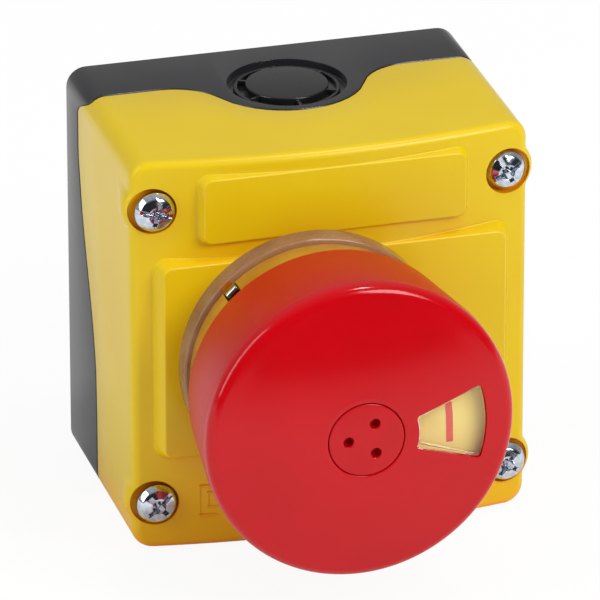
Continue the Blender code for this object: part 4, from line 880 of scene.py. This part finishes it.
plugFront = domeDepth(plug["radius"])
plugWide = plug["radius"] + plug["lap"]
plugRear = plugFront + plug["thick"]
plugBlank = lathe(softProfile([(0, plugFront - 0.03, 0), (plugWide, plugFront, 0.22),
                               (plugWide, plugFront + 0.5, 0), (plug["radius"], plugFront + 0.7, 0),
                               (plug["radius"], plugRear, 0), (0, plugRear, 0)], 5, False), 128, False)
plugHoles = []
for number in range(3):
    angle = math.radians(plug["start"] + 120 * number)
    wide, deep = plug["hole"], plugFront + plug["holeDeep"]
    profile = [(0, plugFront - 1), (wide + 0.12, plugFront - 1), (wide + 0.12, plugFront - 0.02),
               (wide, plugFront + 0.12), (wide, deep), (0, deep)]
    plugHoles.append(moveAll(lathe(profile, 32, False),
                             (plug["circle"] * math.cos(angle), 0, plug["circle"] * math.sin(angle))))
addPiece("head_plug", carved(plugBlank, plugHoles), buttonPlace, "plugRed", "head", "red_plastic",
         ["centre_plug"], 35)

pane = windowPlug(window["gap"], head["top"] + window["sunk"], domeDepth(window["outer"]) + window["thick"],
                  True)
addPiece("head_window", pane, buttonPlace, "windowClear", "head", "clear_plastic", ["window_lens"], 35)
print("head made")


# Indicator disc behind the window, with the bar for on and the ring for off

disc = {"inner": 8.8, "outer": 22.3, "thick": 1.0,
        "bar": (14.95, 16.1, 9.2), "barMiddle": 0.5, "barLean": -3.0,  # inner side, outer side and length
        "ringAngle": 58.0, "ring": (15.9, 1.5, 2.5)}  # distance out, inner and outer radius
discFront = domeDepth(head["radius"] - head["rimRounding"]) + head["front"] + 0.6
discRear = discFront + disc["thick"]
discProfile = softProfile([(disc["inner"], discFront, 0.2), (disc["outer"], discFront, 0.2),
                           (disc["outer"], discRear, 0), (disc["inner"], discRear, 0)], 3)
addPiece("indicator_face", lathe(discProfile, 128), buttonPlace, "discYellow", "indicator", "pale_yellow",
         ["indicator_disc"])
low, high, tall = disc["bar"]
bar = turnAll(brick((high - low, 0.08, tall), (0, discFront - 0.03, 0)), disc["barLean"])
moveAll(bar, ((low + high) / 2, 0, disc["barMiddle"]))
addPiece("mark_on", bar, buttonPlace, "markRed", "indicator", "red_plastic")
middle, inside, outside = disc["ring"]
off = moveAll(lathe([(inside, discFront - 0.07), (outside, discFront - 0.07), (outside, discFront + 0.02),
                     (inside, discFront + 0.02)], 48), (middle, 0, 0))
addPiece("mark_off", turnAll(off, -disc["ringAngle"]), buttonPlace, "markRed", "indicator", "red_plastic")
print("indicator made")


# Collar: clear ring, amber sleeve with its slot, pin

collar = {"radius": 23.1, "bore": 18.0, "rear": -0.6, "front": -4.6, "flutes": 90, "flute": 0.35}
sleeve = {"radius": 22.3, "wall": 1.3, "hole": 10.2, "rear": -4.9, "floor": -6.7, "front": -15.3,
          "slotAngle": 133.4, "slotWide": 3.0, "slotLong": 7.4, "slotRear": -5.3, "slotReach": 5.2}


def clearRing():
    # smooth outside, fluted behind, which gives the sparkle
    wide, bore, front, rear = (collar[key] for key in ("radius", "bore", "front", "rear"))
    profile = softProfile([(bore, front, 0.2), (wide, front, 0.5), (wide, rear, 0.2), (bore + 2.2, rear, 0.1),
                           (bore, rear - 1.6, 0.1)], 5)
    solid = lathe(profile, 2 * collar["flutes"])
    for vertex in solid.verts:
        radius = math.hypot(vertex.co.x, vertex.co.z)
        if radius < wide - 1 and vertex.co.y > front + 0.6:
            turn = math.atan2(vertex.co.z, vertex.co.x) * collar["flutes"]
            vertex.co.y -= collar["flute"] * (0.5 + 0.5 * math.cos(turn))
    return solid


addPiece("collar_ring", clearRing(), buttonPlace, "ringClear", "station", "clear_plastic", ["bezel_ring"], 40)

sleeveInner = sleeve["radius"] - sleeve["wall"]
sleeveProfile = softProfile([(sleeve["hole"], sleeve["floor"], 0), (sleeveInner, sleeve["floor"], 0.5),
                             (sleeveInner, sleeve["front"], 0.2), (sleeve["radius"], sleeve["front"], 0.3),
                             (sleeve["radius"], sleeve["rear"], 0.3), (sleeve["hole"], sleeve["rear"], 0)], 4)
slotTool = brick((sleeve["slotReach"], sleeve["slotLong"], sleeve["slotWide"]),
                 (sleeve["radius"], sleeve["slotRear"] - sleeve["slotLong"] / 2, 0))
turnAll(slotTool, -sleeve["slotAngle"])
addPiece("collar_sleeve_shell", carved(lathe(sleeveProfile, 160), [slotTool]), buttonPlace, "sleeveAmber",
         "station", "amber_plastic", ["collar_sleeve"])

pin = {"radius": 0.8, "length": 2.4, "depth": -6.2}
pinSolid = lathe(softProfile([(0, -pin["length"] / 2, 0), (pin["radius"], -pin["length"] / 2, 0.2),
                              (pin["radius"], pin["length"] / 2, 0.2), (0, pin["length"] / 2, 0)],
                             4, False), 32, False)
turnAll(pinSolid, 90, "X")
moveAll(pinSolid, (sleeve["radius"] - sleeve["wall"] / 2, pin["depth"], 0))
addPiece("latch_pin", turnAll(pinSolid, -sleeve["slotAngle"]), buttonPlace, "pinSteel", "station",
         "spring_steel", ["ring_pin"])

tab = {"angle": 134.0, "wide": 1.9, "inner": 21.6, "outer": 23.0, "front": -4.72, "rear": -3.9}
tabSolid = brick((tab["outer"] - tab["inner"], tab["rear"] - tab["front"], tab["wide"]),
                 ((tab["outer"] + tab["inner"]) / 2, (tab["rear"] + tab["front"]) / 2, 0))
addPiece("sleeve_tab", turnAll(tabSolid, -tab["angle"]), buttonPlace, "slotOrange", "station",
         "amber_plastic")
print("collar made")


# Everything inside keeps its solid and gets a finish

innerLooks = {
    "cover_gasket": "sealRubber", "panel_seal": "sealRubber", "operator_body": "bodyGrey",
    "fixing_nut": "innerBlack", "cam_ring": "camWhite", "spindle": "bodyGrey", "drive_plate": "innerBlack",
    "return_spring": "springSteel", "contact_housing": "bodyGrey", "contact_plunger": "camWhite",
    "contact_bridge": "contactBrass", "contact_spring": "springSteel", "fixed_terminal": "contactBrass",
    "terminal_screw": "screwZinc",
}
for name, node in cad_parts.items():
    for start, look in innerLooks.items():
        if name.startswith(start):
            node.data.materials.clear()
            node.data.materials.append(finishes[look])
print("inner finishes set")


# Floor, light and camera

studio = {
    "floor": shown(240, 240, 240), "floorCloud": shown(243, 243, 243), "paper": 0.92,  # share of plain white
    "table": shown(36, 35, 34), "tableFade": (-0.29, -0.13),  # the dark table and where it fades out
    "behind": 0.42, "before": 0.5, "above": 0.25,
    "glossBehind": 0.42, "glossBefore": 0.03,  # what gloss sees of the room
    "key": (0.48, -0.78, 0.65, 0.45, 0.45, 6.8), "top": (0.22, -0.2, 0.9, 0.11, 0.11, 1.5),
    "left": (-0.9, -0.15, 0.48, 0.3, 0.8, 3.6),  # place, size and power of the lamps
}


def studioFloor():
    solid = bmesh.new()
    bmesh.ops.create_grid(solid, x_segments=2, y_segments=2, size=3.0)
    bmesh.ops.translate(solid, vec=(0, 0, -0.0003), verts=solid.verts)
    floor = makeObject("studio_floor", solid)
    finish, tree, shader, place = newFinish("paperFloor")
    colour = blendColour(tree, speckle(tree, place, 2), studio["floor"], studio["floorCloud"])
    tree.links.new(colour, shader.inputs["Base Color"])
    shader.inputs["Roughness"].default_value = 0.9
    shader.inputs["Specular IOR Level"].default_value = 0.1
    plain = addNode(tree, "ShaderNodeEmission", Color=(1, 1, 1, 1), Strength=1.0)
    path = addNode(tree, "ShaderNodeLightPath")
    share = addNode(tree, "ShaderNodeMath", operation="MULTIPLY")
    share.inputs[1].default_value = studio["paper"]
    mix = addNode(tree, "ShaderNodeMixShader")
    tree.links.new(path.outputs["Is Camera Ray"], share.inputs[0])
    tree.links.new(share.outputs[0], mix.inputs[0])
    tree.links.new(shader.outputs[0], mix.inputs[1])
    tree.links.new(plain.outputs[0], mix.inputs[2])
    tree.links.new(mix.outputs[0], tree.nodes["Material Output"].inputs["Surface"])
    floor.data.materials.append(finish)


studioFloor()


def darkTable():
    # what gloss sees of the room beyond the white paper; it takes no part in the lighting
    solid = bmesh.new()
    bmesh.ops.create_grid(solid, x_segments=1, y_segments=1, size=1.5)
    bmesh.ops.translate(solid, vec=(0, -1.61, 0.001), verts=solid.verts)
    table = makeObject("dark_table", solid)
    finish, tree, shader, place = newFinish("darkTable")
    away = addNode(tree, "ShaderNodeSeparateXYZ")
    tree.links.new(place, away.inputs[0])
    share = spread(tree, away.outputs["Y"], 0, 1, *studio["tableFade"])
    tree.links.new(blendColour(tree, share, studio["table"], studio["floor"]), shader.inputs["Base Color"])
    shader.inputs["Roughness"].default_value = 1
    shader.inputs["Specular IOR Level"].default_value = 0
    table.data.materials.append(finish)
    for kind in ("camera", "diffuse", "transmission", "shadow"):
        setattr(table, "visible_" + kind, False)


darkTable()

world = bpy.data.worlds.new("studio")
bpy.context.scene.world = world
world.use_nodes = True
world.cycles.sampling_method = "NONE"
tree = world.node_tree
background = tree.nodes["Background"]
background.inputs["Color"].default_value = (1, 1, 1, 1)
direction = addNode(tree, "ShaderNodeSeparateXYZ")
tree.links.new(addNode(tree, "ShaderNodeTexCoord").outputs["Generated"], direction.inputs[0])
# the room is paler behind the object and overhead than behind the viewer
aroundLit = spread(tree, direction.outputs["Y"], studio["before"], studio["behind"], -0.5, 0.3)
aroundGloss = spread(tree, direction.outputs["Y"], studio["glossBefore"], studio["glossBehind"], -0.4, 0.4)
rays = addNode(tree, "ShaderNodeLightPath")
pick = addNode(tree, "ShaderNodeMix", data_type="FLOAT")
tree.links.new(rays.outputs["Is Glossy Ray"], pick.inputs[0])
tree.links.new(aroundLit, pick.inputs[2])
tree.links.new(aroundGloss, pick.inputs[3])
overhead = spread(tree, direction.outputs["Z"], 0, studio["above"], 0.5, 0.9)
room = combine(tree, "ADD", pick.outputs[0], overhead)
white = combine(tree, "MAXIMUM", rays.outputs["Is Camera Ray"], rays.outputs["Is Transmission Ray"])
tree.links.new(combine(tree, "MAXIMUM", room, white), background.inputs["Strength"])


def softLamp(name, place, target, size, power):
    lamp = bpy.data.lights.new(name, "AREA")
    lamp.shape = "RECTANGLE"
    lamp.size, lamp.size_y = size
    lamp.energy = power
    holder = bpy.data.objects.new(name, lamp)
    bpy.context.scene.collection.objects.link(holder)
    holder.location = place
    holder.rotation_euler = (Vector(target) - Vector(place)).to_track_quat("-Z", "Y").to_euler()


for name in ("key", "top", "left"):
    x, y, z, wide, high, power = studio[name]
    softLamp("lamp_" + name, (x, y, z), (0, -0.01, 0.036), (wide, high), power)

view = {"place": (-0.35608, -1.24795, 0.63072), "yaw": 0.2743512612, "pitch": 0.4256436442,
        "roll": -0.0011193719, "lens": 495.248867}
forward = Vector((math.sin(view["yaw"]) * math.cos(view["pitch"]),
                  math.cos(view["yaw"]) * math.cos(view["pitch"]), -math.sin(view["pitch"])))
sideways = forward.cross(Vector((0, 0, 1))).normalized()
upright = sideways.cross(forward)
across = math.cos(view["roll"]) * sideways + math.sin(view["roll"]) * upright
upward = -math.sin(view["roll"]) * sideways + math.cos(view["roll"]) * upright
optics = bpy.data.cameras.new("camera")
optics.sensor_width = 36
optics.lens = view["lens"]
optics.clip_start, optics.clip_end = 0.01, 20
camera = bpy.data.objects.new("camera", optics)
bpy.context.scene.collection.objects.link(camera)
camera.matrix_world = Matrix.Translation(view["place"]) @ Matrix(
    (across, upward, -forward)).transposed().to_4x4()
bpy.context.scene.camera = camera
bpy.context.scene.view_settings.view_transform = "Standard"
print("camera set")
